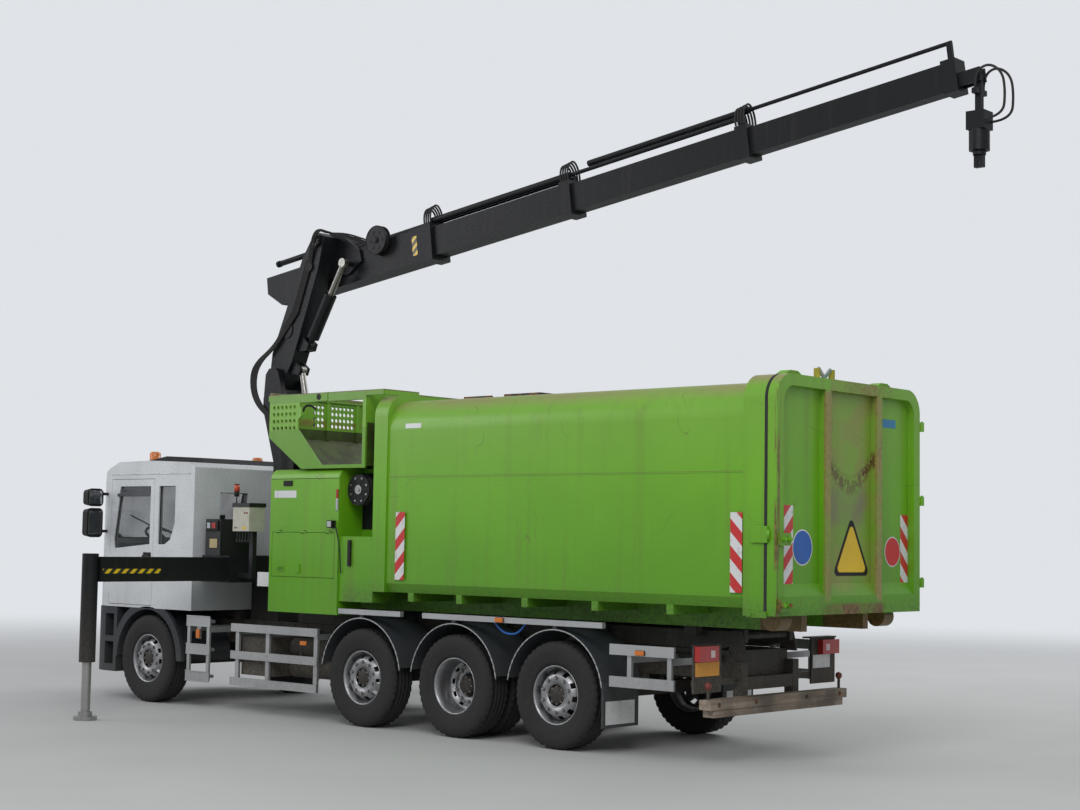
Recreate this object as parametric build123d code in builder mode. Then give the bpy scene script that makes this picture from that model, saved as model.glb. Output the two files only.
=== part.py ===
from build123d import *
import os
from math import cos, radians, sin

os.makedirs("parts", exist_ok=True)

# Refuse lorry: forward-control cab, slewing loader crane, hook-lift chassis and a press container.
# Millimetres. +X forward, +Y left, +Z up, ground at Z 0, origin in the middle of the overall box.

# Reach of the whole lorry from the drive axle, which puts the origin in the middle of the overall box
FRONT_REACH = 6420.0
ELBOW_REACH = 3500.0
BOOM_RISE = 7.6
BOOM_DROP = 345.0
TIP_STATION = 8600.0
TIP_PIN_DROP = -60.0
ROTATOR_R = 95.0
HOSE_R = 12.0
RISE_COS = cos(radians(BOOM_RISE))
RISE_SIN = sin(radians(BOOM_RISE))
PIN_REACH = TIP_STATION * RISE_COS + (BOOM_DROP - TIP_PIN_DROP) * RISE_SIN - ELBOW_REACH
REAR_REACH = PIN_REACH + ROTATOR_R

# Axles and wheels
DRIVE_X = (REAR_REACH - FRONT_REACH) / 2
FRONT_AXLE_X = DRIVE_X + 5130.0
PUSHER_AXLE_X = DRIVE_X + 1370.0
TAG_AXLE_X = DRIVE_X - 1360.0
WHEEL_R = 520.0
TYRE_WIDTH = 300.0
TYRE_OUTER_Y = 1235.0
TWIN_GAP = 40.0
RIM_LIP_R = 300.0
RIM_WELL_R = 262.0
RIM_DISC_T = 16.0
HUB_RING_R = 185.0
HUB_HOLE_R = 105.0
KINGPIN_Y = 985.0
KINGPIN_R = 24.0
KINGPIN_BOSS_R = 45.0
SPINDLE_R = 60.0
AXLE_TUBE = 130.0
RUNNING_GAP = 0.3
PIN_GAP = 0.1

# Chassis
RAIL_OUT_Y = 430.0
RAIL_TOP = 1000.0
RAIL_DEPTH = 270.0
RAIL_T = 9.0
RAIL_FLANGE = 80.0
RAIL_REAR_X = DRIVE_X - 2900.0
RAIL_FRONT_X = DRIVE_X + 5900.0
RAIL_BOTTOM = RAIL_TOP - RAIL_DEPTH

# Cab
CAB_REAR_X = DRIVE_X + 4285.0
CAB_FRONT_X = DRIVE_X + 6400.0
CAB_HALF = 1245.0
CAB_FLOOR = 1180.0
CAB_SKIRT = 1120.0
CAB_ROOF = 2900.0
CAB_WALL = 60.0
CAB_CORNER_R = 420.0
DOOR_REAR_X = DRIVE_X + 5055.0
DOOR_FRONT_X = DRIVE_X + 5925.0
DOOR_TOP = 2680.0
DOOR_GAP = 6.0
SILL_Z = 1890.0
GLASS_T = 8.0
ARCH_R = 595.0

# Crane
COLUMN_X = DRIVE_X + 3860.0
LUFF_X = DRIVE_X + 4180.0
LUFF_Z = 3950.0
ELBOW_X = DRIVE_X + ELBOW_REACH
ELBOW_Z = 5580.0
BOOM_Y = -290.0
BOOM_TAIL = -1290.0
BEAM_Z = 1620.0
BEAM_HIGH = 270.0
BEAM_WIDE = 200.0
LEFT_BEAM_X = DRIVE_X + 3806.0
RIGHT_BEAM_X = DRIVE_X + 4045.0
LEG_Y = 2993.0
LEG_R = 88.0
LEG_ROD_R = 50.0
PAD_R = 125.0
HOUSING_HALF = 1190.0

# Load body
FRAME_FRONT_X = DRIVE_X + 1220.0
FRAME_BACK_X = DRIVE_X + 1020.0
REAR_FRAME_X = DRIVE_X - 3570.0
DOOR_SEAM_X = DRIVE_X - 3808.0
REAR_DOOR_T = 110.0
FRAME_HALF = 1250.0
BODY_HALF = FRAME_HALF - 20
BODY_BOTTOM = 1440.0
BODY_TOP = 3480.0
FRAME_TOP = 3535.0
BODY_WALL = 50.0
BODY_TOP_R = 330.0
FRAME_TOP_R = 230.0
TIP_X = DRIVE_X - 2950.0
TIP_Z = 1140.0
TIP_SHAFT_R = 35.0
SKID_Y = 530.0
HOPPER_FRONT_X = DRIVE_X + 2960.0
HOPPER_BACK_X = DRIVE_X + 1370.0
HOPPER_RIM = 3600.0
CABINET_FRONT_X = DRIVE_X + 2895.0
CABINET_BACK_X = DRIVE_X + 1750.0


def block(x0, x1, y0, y1, z0, z1, mode=Mode.ADD):
    """A box between two corners, in the part that is being built."""
    with Locations(((x0 + x1) / 2, (y0 + y1) / 2, (z0 + z1) / 2)):
        Box(abs(x1 - x0), abs(y1 - y0), abs(z1 - z0), mode=mode)


def bar_y(x, z, r, y0, y1, mode=Mode.ADD):
    """A round bar across the lorry."""
    with BuildSketch(Plane.XZ.offset(-y1)) as profile:
        with Locations((x, z)):
            Circle(r)
    extrude(profile.sketch, amount=y1 - y0, mode=mode)


def bar_z(x, y, r, z0, z1, mode=Mode.ADD):
    """An upright round bar."""
    with BuildSketch(Plane.XY.offset(z0)) as profile:
        with Locations((x, y)):
            Circle(r)
    extrude(profile.sketch, amount=z1 - z0, mode=mode)


def bar_x(y, z, r, x0, x1, mode=Mode.ADD):
    """A round bar along the lorry."""
    with BuildSketch(Plane.YZ.offset(x0)) as profile:
        with Locations((y, z)):
            Circle(r)
    extrude(profile.sketch, amount=x1 - x0, mode=mode)


def side_plate(points, y0, y1, mode=Mode.ADD):
    """A plate with a side-view outline of (x, z) points, between two widths."""
    with BuildSketch(Plane.XZ.offset(-y1)) as profile:
        with BuildLine():
            Polyline(*points, close=True)
        make_face()
    extrude(profile.sketch, amount=y1 - y0, mode=mode)


def save(piece, name):
    """Label a finished part and write it."""
    piece.part.label = name
    export_step(piece.part, f"parts/{name}.step")


# Chassis frame: two C rails with crossmembers
TILT_IN_Y = 352.0
TILT_OUT_Y = 416.0
TILT_BOTTOM = RAIL_TOP + 6.0
TILT_TOP = 1180.0
TIP_EAR = (
    (TIP_X - 90, RAIL_TOP - 20),
    (TIP_X - 45, TIP_Z + 45),
    (TIP_X + 45, TIP_Z + 45),
    (TIP_X + 110, RAIL_TOP - 20),
)
CROSSMEMBERS = (-2820.0, -700.0, 700.0, 2000.0, 3300.0, 4350.0, 5800.0)

with BuildPart() as chassis_frame:
    for side in (1, -1):
        inner = side * (RAIL_OUT_Y - RAIL_FLANGE)
        outer = side * RAIL_OUT_Y
        web = side * (RAIL_OUT_Y - RAIL_T)
        block(RAIL_REAR_X, RAIL_FRONT_X, inner, outer, RAIL_BOTTOM, RAIL_TOP)
        block(RAIL_REAR_X, RAIL_FRONT_X, inner, web, RAIL_BOTTOM + RAIL_T, RAIL_TOP - RAIL_T, Mode.SUBTRACT)
    for station in CROSSMEMBERS:
        x = DRIVE_X + station
        reach = RAIL_OUT_Y - RAIL_T
        block(x - 40, x + 40, -reach, reach, RAIL_BOTTOM + 60, RAIL_BOTTOM + 200)
    block(RAIL_REAR_X - 30, RAIL_REAR_X, -RAIL_OUT_Y, RAIL_OUT_Y, RAIL_BOTTOM - 60, RAIL_TOP)
    for side in (1, -1):
        y0, y1 = sorted((side * (TILT_OUT_Y + PIN_GAP * 60), side * (RAIL_OUT_Y + 10)))
        side_plate(TIP_EAR, y0, y1)
        y0, y1 = sorted((side * (TILT_IN_Y + 10), side * (TILT_OUT_Y - 10)))
        block(DRIVE_X + 3000, DRIVE_X + 3120, y0, y1, RAIL_TOP, TILT_BOTTOM - RUNNING_GAP)
    bar_y(TIP_X, TIP_Z, TIP_SHAFT_R, -RAIL_OUT_Y - 10, RAIL_OUT_Y + 10)
    for x in (CAB_REAR_X + 150, CAB_FRONT_X - 650):
        for side in (1, -1):
            block(
                x - 60, x + 60, side * (RAIL_OUT_Y - RAIL_FLANGE), side * RAIL_OUT_Y, RAIL_TOP,
                CAB_SKIRT - RUNNING_GAP,
            )
save(chassis_frame, "chassis_frame")

# Axles: beams, drive housing and leaf springs up to the rails
SPRING_Y = 390.0
RING_FACE_Y = TYRE_OUTER_Y - 30.0
SPINDLE_END_Y = RING_FACE_Y - RIM_DISC_T - 45
with BuildPart() as axle_beams:
    for x, steered in ((FRONT_AXLE_X, True), (PUSHER_AXLE_X, False), (DRIVE_X, False), (TAG_AXLE_X, True)):
        if steered:
            tip = KINGPIN_Y - 100
        else:
            tip = TYRE_OUTER_Y - TYRE_WIDTH * 2 - TWIN_GAP - 30
        half = AXLE_TUBE / 2
        block(x - half, x + half, -tip, tip, WHEEL_R - half, WHEEL_R + half)
        if steered:
            block(x - 40, x + 40, -KINGPIN_Y, KINGPIN_Y, WHEEL_R - half, WHEEL_R + half)
            for side in (1, -1):
                bar_z(x, side * KINGPIN_Y, KINGPIN_BOSS_R, WHEEL_R - half, WHEEL_R + half)
                bar_z(x, side * KINGPIN_Y, KINGPIN_R + PIN_GAP, WHEEL_R - 200, WHEEL_R + 200, Mode.SUBTRACT)
        for side in (1, -1):
            block(
                x - 60, x + 60, side * (SPRING_Y - 35), side * (SPRING_Y + 35), WHEEL_R + half,
                RAIL_BOTTOM,
            )
            block(
                x - 480, x + 480, side * (SPRING_Y - 35), side * (SPRING_Y + 35), RAIL_BOTTOM - 90,
                RAIL_BOTTOM - 50,
            )
            for end in (-450, 450):
                block(
                    x + end - 30, x + end + 30, side * (SPRING_Y - 35), side * (SPRING_Y + 35),
                    RAIL_BOTTOM - 60, RAIL_BOTTOM,
                )
    with Locations((DRIVE_X, 0, WHEEL_R)):
        Sphere(190)
    reach = TYRE_OUTER_Y - TYRE_WIDTH * 2 - TWIN_GAP - 31
    for x, end in ((DRIVE_X, TYRE_OUTER_Y - TYRE_WIDTH + 80), (PUSHER_AXLE_X, SPINDLE_END_Y)):
        bar_y(x, WHEEL_R, SPINDLE_R, reach, end)
        bar_y(x, WHEEL_R, SPINDLE_R, -end, -reach)
save(axle_beams, "axle_beams")

# Engine and gearbox, one plain block between the rails
with BuildPart() as engine_block:
    block(DRIVE_X + 4400, DRIVE_X + 5750, -335, 335, RAIL_BOTTOM + 200, CAB_SKIRT - 20)
    foot = RAIL_OUT_Y - RAIL_FLANGE - RUNNING_GAP
    for x in (DRIVE_X + 4500, DRIVE_X + 5600):
        block(x - 50, x + 50, -foot, foot, RAIL_TOP - 50, RAIL_TOP)
save(engine_block, "engine_block")


# Wheels: tyre and rim as revolved sections; steered and single wheels have the raised hub ring
def tyre_section(y_in, y_out):
    """The tyre's section: tread, shoulders, bulging walls and bead, as (radius, width) points."""
    r = WHEEL_R
    wide = y_out - y_in
    return (
        (RIM_LIP_R - 12, y_in + 0.07 * wide),
        (RIM_LIP_R + 60, y_in + 0.01 * wide),
        (r - 80, y_in),
        (r - 22, y_in + 0.04 * wide),
        (r, y_in + 0.12 * wide),
        (r, y_out - 0.12 * wide),
        (r - 22, y_out - 0.04 * wide),
        (r - 80, y_out),
        (RIM_LIP_R + 60, y_out - 0.01 * wide),
        (RIM_LIP_R - 12, y_out - 0.07 * wide),
    )


def rim_barrel(y_in, y_out):
    """The rim's barrel: two lips that the beads sit on, and the well between them."""
    lip = RIM_LIP_R - 12 - RUNNING_GAP
    inner = y_in + 0.07 * (y_out - y_in)
    outer = y_out - 0.07 * (y_out - y_in)
    return (
        (lip, inner),
        (lip, inner + 18),
        (RIM_WELL_R, inner + 60),
        (RIM_WELL_R, outer - 60),
        (lip, outer - 18),
        (lip, outer),
        (lip - 14, outer),
        (RIM_WELL_R - 12, outer - 55),
        (RIM_WELL_R - 12, inner + 55),
        (lip - 14, inner),
    )


def rim_disc(disc_y, dish):
    """The disc that joins the barrel to the hub, dished by the given depth."""
    edge = RIM_WELL_R - 10
    return (
        (HUB_HOLE_R, disc_y),
        (HUB_RING_R, disc_y),
        (edge, disc_y - dish),
        (edge, disc_y - dish + RIM_DISC_T),
        (HUB_RING_R + 8, disc_y + RIM_DISC_T),
        (HUB_HOLE_R, disc_y + RIM_DISC_T),
    )


def revolve_about_axle(x, side, points):
    """Turn a section of (radius, distance from the middle) about an axle's line."""
    with BuildSketch(Plane.YZ.offset(x)) as profile:
        with BuildLine():
            Polyline(*[(side * y, WHEEL_R + radius) for radius, y in points], close=True)
        make_face()
    revolve(profile.sketch, axis=Axis((x, 0, WHEEL_R), (0, 1, 0)))


def ring_between(x, side, r_in, r_out, y0, y1):
    """A plain ring about an axle's line."""
    revolve_about_axle(x, side, ((r_in, y0), (r_out, y0), (r_out, y1), (r_in, y1)))


WHEELS = (
    ("front", FRONT_AXLE_X, "steered"),
    ("pusher", PUSHER_AXLE_X, "single"),
    ("drive", DRIVE_X, "twin"),
    ("tag", TAG_AXLE_X, "steered"),
)
TYRE_INNER_Y = TYRE_OUTER_Y - TYRE_WIDTH
TWIN_DISH = -40.0
SINGLE_DISH = 80.0

for name, x, kind in WHEELS:
    for side, hand in ((1, "left"), (-1, "right")):
        with BuildPart() as wheel:
            revolve_about_axle(x, side, tyre_section(TYRE_INNER_Y, TYRE_OUTER_Y))
            if kind == "twin":
                second_out = TYRE_INNER_Y - TWIN_GAP
                second_in = second_out - TYRE_WIDTH
                revolve_about_axle(x, side, tyre_section(second_in, second_out))
                disc = TYRE_INNER_Y + 40
                revolve_about_axle(x, side, rim_barrel(TYRE_INNER_Y, TYRE_OUTER_Y))
                revolve_about_axle(x, side, rim_disc(disc, TWIN_DISH))
                revolve_about_axle(x, side, rim_barrel(second_in, second_out))
                ring_between(x, side, RIM_WELL_R - 12, RIM_WELL_R, second_out - 90, TYRE_INNER_Y + 90)
                ring_between(x, side, SPINDLE_R + PIN_GAP, HUB_HOLE_R + 10, second_out - 80, disc + 30)
                ring_between(x, side, SPINDLE_R + PIN_GAP, HUB_HOLE_R + 10, disc + 30, disc + 60)
                ring_between(x, side, 0, HUB_HOLE_R - 10, disc + 60, disc + 90)
            else:
                disc = RING_FACE_Y - RIM_DISC_T
                revolve_about_axle(x, side, rim_barrel(TYRE_INNER_Y, TYRE_OUTER_Y))
                revolve_about_axle(x, side, rim_disc(disc, SINGLE_DISH))
                ring_between(x, side, SPINDLE_R + PIN_GAP, HUB_HOLE_R + 12, disc - 120, disc + RIM_DISC_T)
                ring_between(x, side, 0, HUB_HOLE_R, disc - 40, disc - 20)
        save(wheel, f"wheel_{name}_{hand}")

# Steering knuckles: kingpin, yoke round the beam's end and stub axle
for name, x in (("front", FRONT_AXLE_X), ("tag", TAG_AXLE_X)):
    for side, hand in ((1, "left"), (-1, "right")):
        with BuildPart() as knuckle:
            half = AXLE_TUBE / 2 + 5
            reach = KINGPIN_BOSS_R + 5
            bar_z(x, side * KINGPIN_Y, KINGPIN_R, WHEEL_R - half - 45, WHEEL_R + half + 45)
            y0, y1 = sorted((side * (KINGPIN_Y - 40), side * (KINGPIN_Y + reach + 20)))
            for z0 in (WHEEL_R - half - 45, WHEEL_R + half):
                block(x - 45, x + 45, y0, y1, z0, z0 + 45)
            y0, y1 = sorted((side * (KINGPIN_Y + reach), side * (KINGPIN_Y + reach + 20)))
            block(x - 45, x + 45, y0, y1, WHEEL_R - half - 45, WHEEL_R + half + 45)
            y0, y1 = sorted((side * (KINGPIN_Y + reach + 5), side * SPINDLE_END_Y))
            bar_y(x, WHEEL_R, SPINDLE_R, y0, y1)
        save(knuckle, f"knuckle_{name}_{hand}")

# Cab: the side view and the plan view, cut out of each other
def cab_solid(inset, floor):
    """The cab's outer form, or its hollow when inset by a wall, in the part being built."""
    side_points = (
        (CAB_REAR_X + inset, floor),
        (CAB_REAR_X + inset, CAB_ROOF - 90 - inset),
        (CAB_REAR_X + 130 + inset, CAB_ROOF - 30 - inset),
        (CAB_REAR_X + 900, CAB_ROOF - inset),
        (CAB_FRONT_X - 620, CAB_ROOF - 10 - inset),
        (CAB_FRONT_X - 300 - inset, CAB_ROOF - 130 - inset),
        (CAB_FRONT_X - 60 - inset, 2000.0),
        (CAB_FRONT_X - inset, 1800.0),
        (CAB_FRONT_X - inset, floor),
    )
    side_plate(side_points, -CAB_HALF, CAB_HALF)
    half = CAB_HALF - inset
    front = CAB_FRONT_X - inset
    corner = CAB_CORNER_R - inset
    with BuildSketch(Plane.XY.offset(floor)) as plan:
        with BuildLine():
            Line((CAB_REAR_X + inset, -half), (front - corner - 60, -half))
            TangentArc((front - corner - 60, -half), (front - 60, -half + corner), tangent=(1, 0))
            ThreePointArc((front - 60, -half + corner), (front, 0), (front - 60, half - corner))
            TangentArc((front - corner - 60, half), (front - 60, half - corner), tangent=(1, 0))
            Line((front - corner - 60, half), (CAB_REAR_X + inset, half))
            Line((CAB_REAR_X + inset, half), (CAB_REAR_X + inset, -half))
        make_face()
    extrude(plan.sketch, amount=CAB_ROOF - floor, mode=Mode.INTERSECT)


with BuildPart() as cab_form:
    cab_solid(0.0, CAB_SKIRT)
with BuildPart() as cab_hollow:
    cab_solid(CAB_WALL, CAB_FLOOR)

# The cab's windows, each as a side-view outline of (x, z) points
DOOR_WINDOW = (
    (DOOR_REAR_X + 75, SILL_Z),
    (DOOR_REAR_X + 75, DOOR_TOP - 90),
    (DOOR_FRONT_X - 180, DOOR_TOP - 90),
    (DOOR_FRONT_X - 70, SILL_Z + 60),
    (DOOR_FRONT_X - 90, SILL_Z - 60),
)
QUARTER_WINDOW = (
    (DOOR_REAR_X - 90, SILL_Z),
    (DOOR_REAR_X - 90, DOOR_TOP - 90),
    (DOOR_REAR_X - 410, DOOR_TOP - 90),
    (DOOR_REAR_X - 410, SILL_Z + 260),
    (DOOR_REAR_X - 330, SILL_Z + 60),
    (DOOR_REAR_X - 220, SILL_Z),
)
WINDSCREEN_HALF = 1010.0
WINDSCREEN_LOW = 1960.0
WINDSCREEN_HIGH = 2690.0
REAR_WINDOW = (430.0, 860.0, 2130.0, 2520.0)

with BuildPart() as cab_shell:
    add(cab_form.part)
    add(cab_hollow.part, mode=Mode.SUBTRACT)
    for side in (1, -1):
        low, high = sorted((side * (CAB_HALF - CAB_WALL - 40), side * (CAB_HALF + 20)))
        block(DOOR_REAR_X, DOOR_FRONT_X, low, high, CAB_SKIRT + 30, DOOR_TOP, Mode.SUBTRACT)
        side_plate(QUARTER_WINDOW, low, high, Mode.SUBTRACT)
        y0, y1 = sorted((side * REAR_WINDOW[0], side * REAR_WINDOW[1]))
        block(CAB_REAR_X - 20, CAB_REAR_X + 200, y0, y1, REAR_WINDOW[2], REAR_WINDOW[3], Mode.SUBTRACT)
    with BuildSketch(Plane.YZ.offset(CAB_FRONT_X - 480)):
        with Locations((0, (WINDSCREEN_LOW + WINDSCREEN_HIGH) / 2)):
            RectangleRounded(WINDSCREEN_HALF * 2, WINDSCREEN_HIGH - WINDSCREEN_LOW, 90)
    extrude(amount=600, mode=Mode.SUBTRACT)
    for side in (1, -1):
        y0, y1 = sorted((side * 700, side * 1300))
        bar_y(FRONT_AXLE_X, WHEEL_R, ARCH_R + 25, y0, y1, Mode.SUBTRACT)
        y0, y1 = sorted((side * (CAB_HALF - 14), side * CAB_HALF))
        for z in (CAB_FLOOR + 160, SILL_Z - 160):
            block(DOOR_FRONT_X - DOOR_GAP + RUNNING_GAP, DOOR_FRONT_X, y0, y1, z - 45, z + 45)
    for z in (1230.0, 1320.0, 1410.0, 1500.0, 1590.0):
        block(CAB_FRONT_X - 30, CAB_FRONT_X + 10, -640, 640, z, z + 50, Mode.SUBTRACT)
save(cab_shell, "cab_shell")

# Cab doors: the same form between the door's edges, hinged at their front edges
for side, hand in ((1, "left"), (-1, "right")):
    with BuildPart() as cab_door:
        add(cab_form.part)
        low, high = sorted((side * (CAB_HALF - CAB_WALL - 30), side * (CAB_HALF + 20)))
        block(
            DOOR_REAR_X + DOOR_GAP, DOOR_FRONT_X - DOOR_GAP, low, high, CAB_SKIRT + 30 + DOOR_GAP,
            DOOR_TOP - DOOR_GAP, Mode.INTERSECT,
        )
        add(cab_hollow.part, mode=Mode.SUBTRACT)
        side_plate(DOOR_WINDOW, low, high, Mode.SUBTRACT)
    save(cab_door, f"cab_door_{hand}")
    with BuildPart() as door_glass:
        low, high = sorted((side * (CAB_HALF - 34), side * (CAB_HALF - 34 + GLASS_T)))
        side_plate(DOOR_WINDOW, low, high)
    save(door_glass, f"door_glass_{hand}")

# Fixed glass: windscreen, quarter lights and rear windows, just inside their frames
with BuildPart() as cab_glass:
    for side in (1, -1):
        low, high = sorted((side * (CAB_HALF - 34), side * (CAB_HALF - 34 + GLASS_T)))
        side_plate(QUARTER_WINDOW, low, high)
        y0, y1 = sorted((side * REAR_WINDOW[0], side * REAR_WINDOW[1]))
        block(CAB_REAR_X + 24, CAB_REAR_X + 24 + GLASS_T, y0, y1, REAR_WINDOW[2], REAR_WINDOW[3])
save(cab_glass, "cab_glass")
with BuildPart() as glass_outer:
    cab_solid(26.0, CAB_SKIRT)
with BuildPart() as glass_inner:
    cab_solid(26.0 + GLASS_T, CAB_SKIRT - 50)
with BuildPart() as windscreen:
    add(glass_outer.part)
    add(glass_inner.part, mode=Mode.SUBTRACT)
    with BuildSketch(Plane.YZ.offset(CAB_FRONT_X - 480)):
        with Locations((0, (WINDSCREEN_LOW + WINDSCREEN_HIGH) / 2)):
            RectangleRounded(WINDSCREEN_HALF * 2, WINDSCREEN_HIGH - WINDSCREEN_LOW, 90)
    extrude(amount=600, mode=Mode.INTERSECT)
save(windscreen, "windscreen")

# Cab inside: floor trim, seats, dashboard and steering wheel
with BuildPart() as cab_interior:
    floor = CAB_FLOOR
    inner = CAB_HALF - 145
    block(CAB_REAR_X + 70, CAB_FRONT_X - 520, -inner, inner, floor, floor + 40)
    block(CAB_REAR_X + 90, CAB_REAR_X + 640, 20 - inner, inner - 20, floor + 40, floor + 560)
    for y in (560, -560):
        block(DOOR_REAR_X - 120, DOOR_REAR_X + 330, y - 250, y + 250, floor + 40, floor + 420)
        block(DOOR_REAR_X - 200, DOOR_REAR_X - 60, y - 240, y + 240, floor + 300, floor + 1080)
        block(DOOR_REAR_X - 190, DOOR_REAR_X - 90, y - 130, y + 130, floor + 1080, floor + 1280)
    block(CAB_FRONT_X - 560, CAB_FRONT_X - 300, 100 - inner, inner - 100, floor, floor + 720)
    with BuildSketch(Plane((CAB_FRONT_X - 600, 560, floor + 800), z_dir=(-0.5, 0, 0.87))):
        Circle(225)
        Circle(200, mode=Mode.SUBTRACT)
        Rectangle(410, 36)
    extrude(amount=25)
    with BuildSketch(Plane((CAB_FRONT_X - 600, 560, floor + 800), z_dir=(-0.5, 0, 0.87))):
        Circle(38)
    extrude(amount=-300)
save(cab_interior, "cab_interior")

# Bumper: wraps the cab's lower front, with a step well before each front wheel
BUMPER_BOTTOM = 330.0
BUMPER_BACK_X = FRONT_AXLE_X + 605.0
with BuildPart() as front_bumper:
    front = CAB_FRONT_X + 20
    half = CAB_HALF
    corner = CAB_CORNER_R
    with BuildSketch(Plane.XY.offset(BUMPER_BOTTOM)):
        with BuildLine():
            Line((BUMPER_BACK_X, -half), (front - corner - 60, -half))
            TangentArc((front - corner - 60, -half), (front - 60, -half + corner), tangent=(1, 0))
            ThreePointArc((front - 60, -half + corner), (front, 0), (front - 60, half - corner))
            TangentArc((front - corner - 60, half), (front - 60, half - corner), tangent=(1, 0))
            Line((front - corner - 60, half), (BUMPER_BACK_X, half))
            Line((BUMPER_BACK_X, half), (BUMPER_BACK_X, -half))
        make_face()
    extrude(amount=CAB_SKIRT - DOOR_GAP - BUMPER_BOTTOM)
    block(
        BUMPER_BACK_X - 10, front - 190, -half + 230, half - 230, BUMPER_BOTTOM - 10, CAB_SKIRT + 10,
        Mode.SUBTRACT,
    )
    for side in (1, -1):
        for z0 in (BUMPER_BOTTOM + 90, BUMPER_BOTTOM + 430):
            low, high = sorted((side * (half - 170), side * (half + 10)))
            block(BUMPER_BACK_X + 60, front - corner - 30, low, high, z0, z0 + 270, Mode.SUBTRACT)
    for z0, z1 in ((440.0, 640.0), (700.0, 900.0)):
        block(front - 110, front + 10, -640, 640, z0, z1, Mode.SUBTRACT)
    block(RAIL_FRONT_X + RUNNING_GAP, front - 180, -RAIL_OUT_Y, RAIL_OUT_Y, RAIL_BOTTOM, RAIL_TOP)
save(front_bumper, "front_bumper")

# Mudguards: half rings over the rear wheels with flat fins between, on brackets from the rails
GUARD_R = 600.0
GUARD_T = 8.0
GUARD_IN = 640.0
GUARD_OUT = FRAME_HALF - 5
GUARD_FACE = GUARD_OUT - 25
GUARD_BACK = GUARD_FACE - 25
GUARD_RAIL_Z = 1188.0
FLARE = 95.0
FRONT_ARCH_R = 587.0


def front_arch(thick, y0, y1):
    """A half ring over a front wheel, flat where the cab's floor lies on it."""
    with BuildSketch(Plane.XZ.offset(-y1)) as profile:
        with Locations((FRONT_AXLE_X, WHEEL_R)):
            Circle(FRONT_ARCH_R + thick)
            Circle(FRONT_ARCH_R, mode=Mode.SUBTRACT)
        with Locations((FRONT_AXLE_X, WHEEL_R - 500)):
            Rectangle(2000, 1000, mode=Mode.SUBTRACT)
        with Locations((FRONT_AXLE_X, CAB_SKIRT - RUNNING_GAP + 250)):
            Rectangle(2000, 500, mode=Mode.SUBTRACT)
    extrude(profile.sketch, amount=y1 - y0)


with BuildPart() as mudguards:
    for x in (PUSHER_AXLE_X, DRIVE_X, TAG_AXLE_X):
        for side in (1, -1):
            low, high = sorted((side * GUARD_IN, side * GUARD_OUT))
            with BuildSketch(Plane.XZ.offset(-high)):
                with Locations((x, WHEEL_R + 25)):
                    Circle(GUARD_R + GUARD_T)
                    Circle(GUARD_R, mode=Mode.SUBTRACT)
                with Locations((x, WHEEL_R - 480)):
                    Rectangle(2 * GUARD_R + 100, 1230, mode=Mode.SUBTRACT)
            extrude(amount=high - low)
            top = WHEEL_R + 25 + GUARD_R
            low, high = sorted((side * RAIL_OUT_Y, side * GUARD_OUT))
            block(x - 25, x + 25, low, high, top + 2, GUARD_RAIL_Z)
            low, high = sorted((side * RAIL_OUT_Y, side * (RAIL_OUT_Y + 40)))
            block(x - 25, x + 25, low, high, RAIL_BOTTOM + 60, GUARD_RAIL_Z)
    for side in (1, -1):
        low, high = sorted((side * (GUARD_OUT - 50), side * GUARD_OUT))
        front_arch(FLARE, low, high)
        low, high = sorted((side * RAIL_OUT_Y, side * (GUARD_OUT - 50)))
        front_arch(GUARD_T, low, high)
        low, high = sorted((side * 700, side * 1235))
        block(TAG_AXLE_X - GUARD_R - 16, TAG_AXLE_X - GUARD_R + 8, low, high, 250, 680)
    add(front_bumper.part, mode=Mode.SUBTRACT)
    block(
        BUMPER_BACK_X + 50, CAB_FRONT_X, -CAB_HALF - 60, CAB_HALF + 60, BUMPER_BOTTOM, CAB_SKIRT,
        Mode.SUBTRACT,
    )
save(mudguards, "mudguards")

# Aluminium side guards, mudguard rails and the access ladder behind the cab
with BuildPart() as side_guards:
    for side in (1, -1):
        y0, y1 = sorted((side * GUARD_BACK, side * GUARD_FACE))
        b0, b1 = sorted((side * RAIL_OUT_Y, side * GUARD_BACK))
        for z in (350, 650, 960):
            block(DRIVE_X + 2090, DRIVE_X + 3570, y0, y1, z - 45, z + 45)
        for x in (2140, 2950, 3480):
            p0, p1 = sorted((side * (GUARD_BACK - 30), side * GUARD_BACK))
            block(DRIVE_X + x - 30, DRIVE_X + x + 30, p0, p1, 305, 1005)
            block(DRIVE_X + x - 30, DRIVE_X + x + 30, b0, b1, 880, 940)
        for z in (700, 1000):
            block(DRIVE_X - 2790, DRIVE_X - 2030, y0, y1, z - 50, z + 50)
        for x in (-2720, -2250):
            p0, p1 = sorted((side * (GUARD_BACK - 30), side * GUARD_BACK))
            block(DRIVE_X + x - 25, DRIVE_X + x + 25, p0, p1, 650, 1050)
            block(DRIVE_X + x - 25, DRIVE_X + x + 25, b0, b1, 880, 940)
        r0, r1 = sorted((side * (GUARD_OUT - 50), side * GUARD_OUT))
        for x0, x1 in ((775, 1734), (-1958, 450)):
            block(DRIVE_X + x0, DRIVE_X + x1, r0, r1, GUARD_RAIL_Z, GUARD_RAIL_Z + 55)
    for x in (3985, 4345):
        block(DRIVE_X + x - 25, DRIVE_X + x + 25, GUARD_BACK, GUARD_FACE, 320, 1040)
        block(DRIVE_X + x - 25, DRIVE_X + x + 25, RAIL_OUT_Y, GUARD_BACK, 880, 940)
    for z in (350, 660, 985):
        block(DRIVE_X + 4010, DRIVE_X + 4320, 1100, GUARD_FACE, z, z + 35)
save(side_guards, "side_guards")

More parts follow.
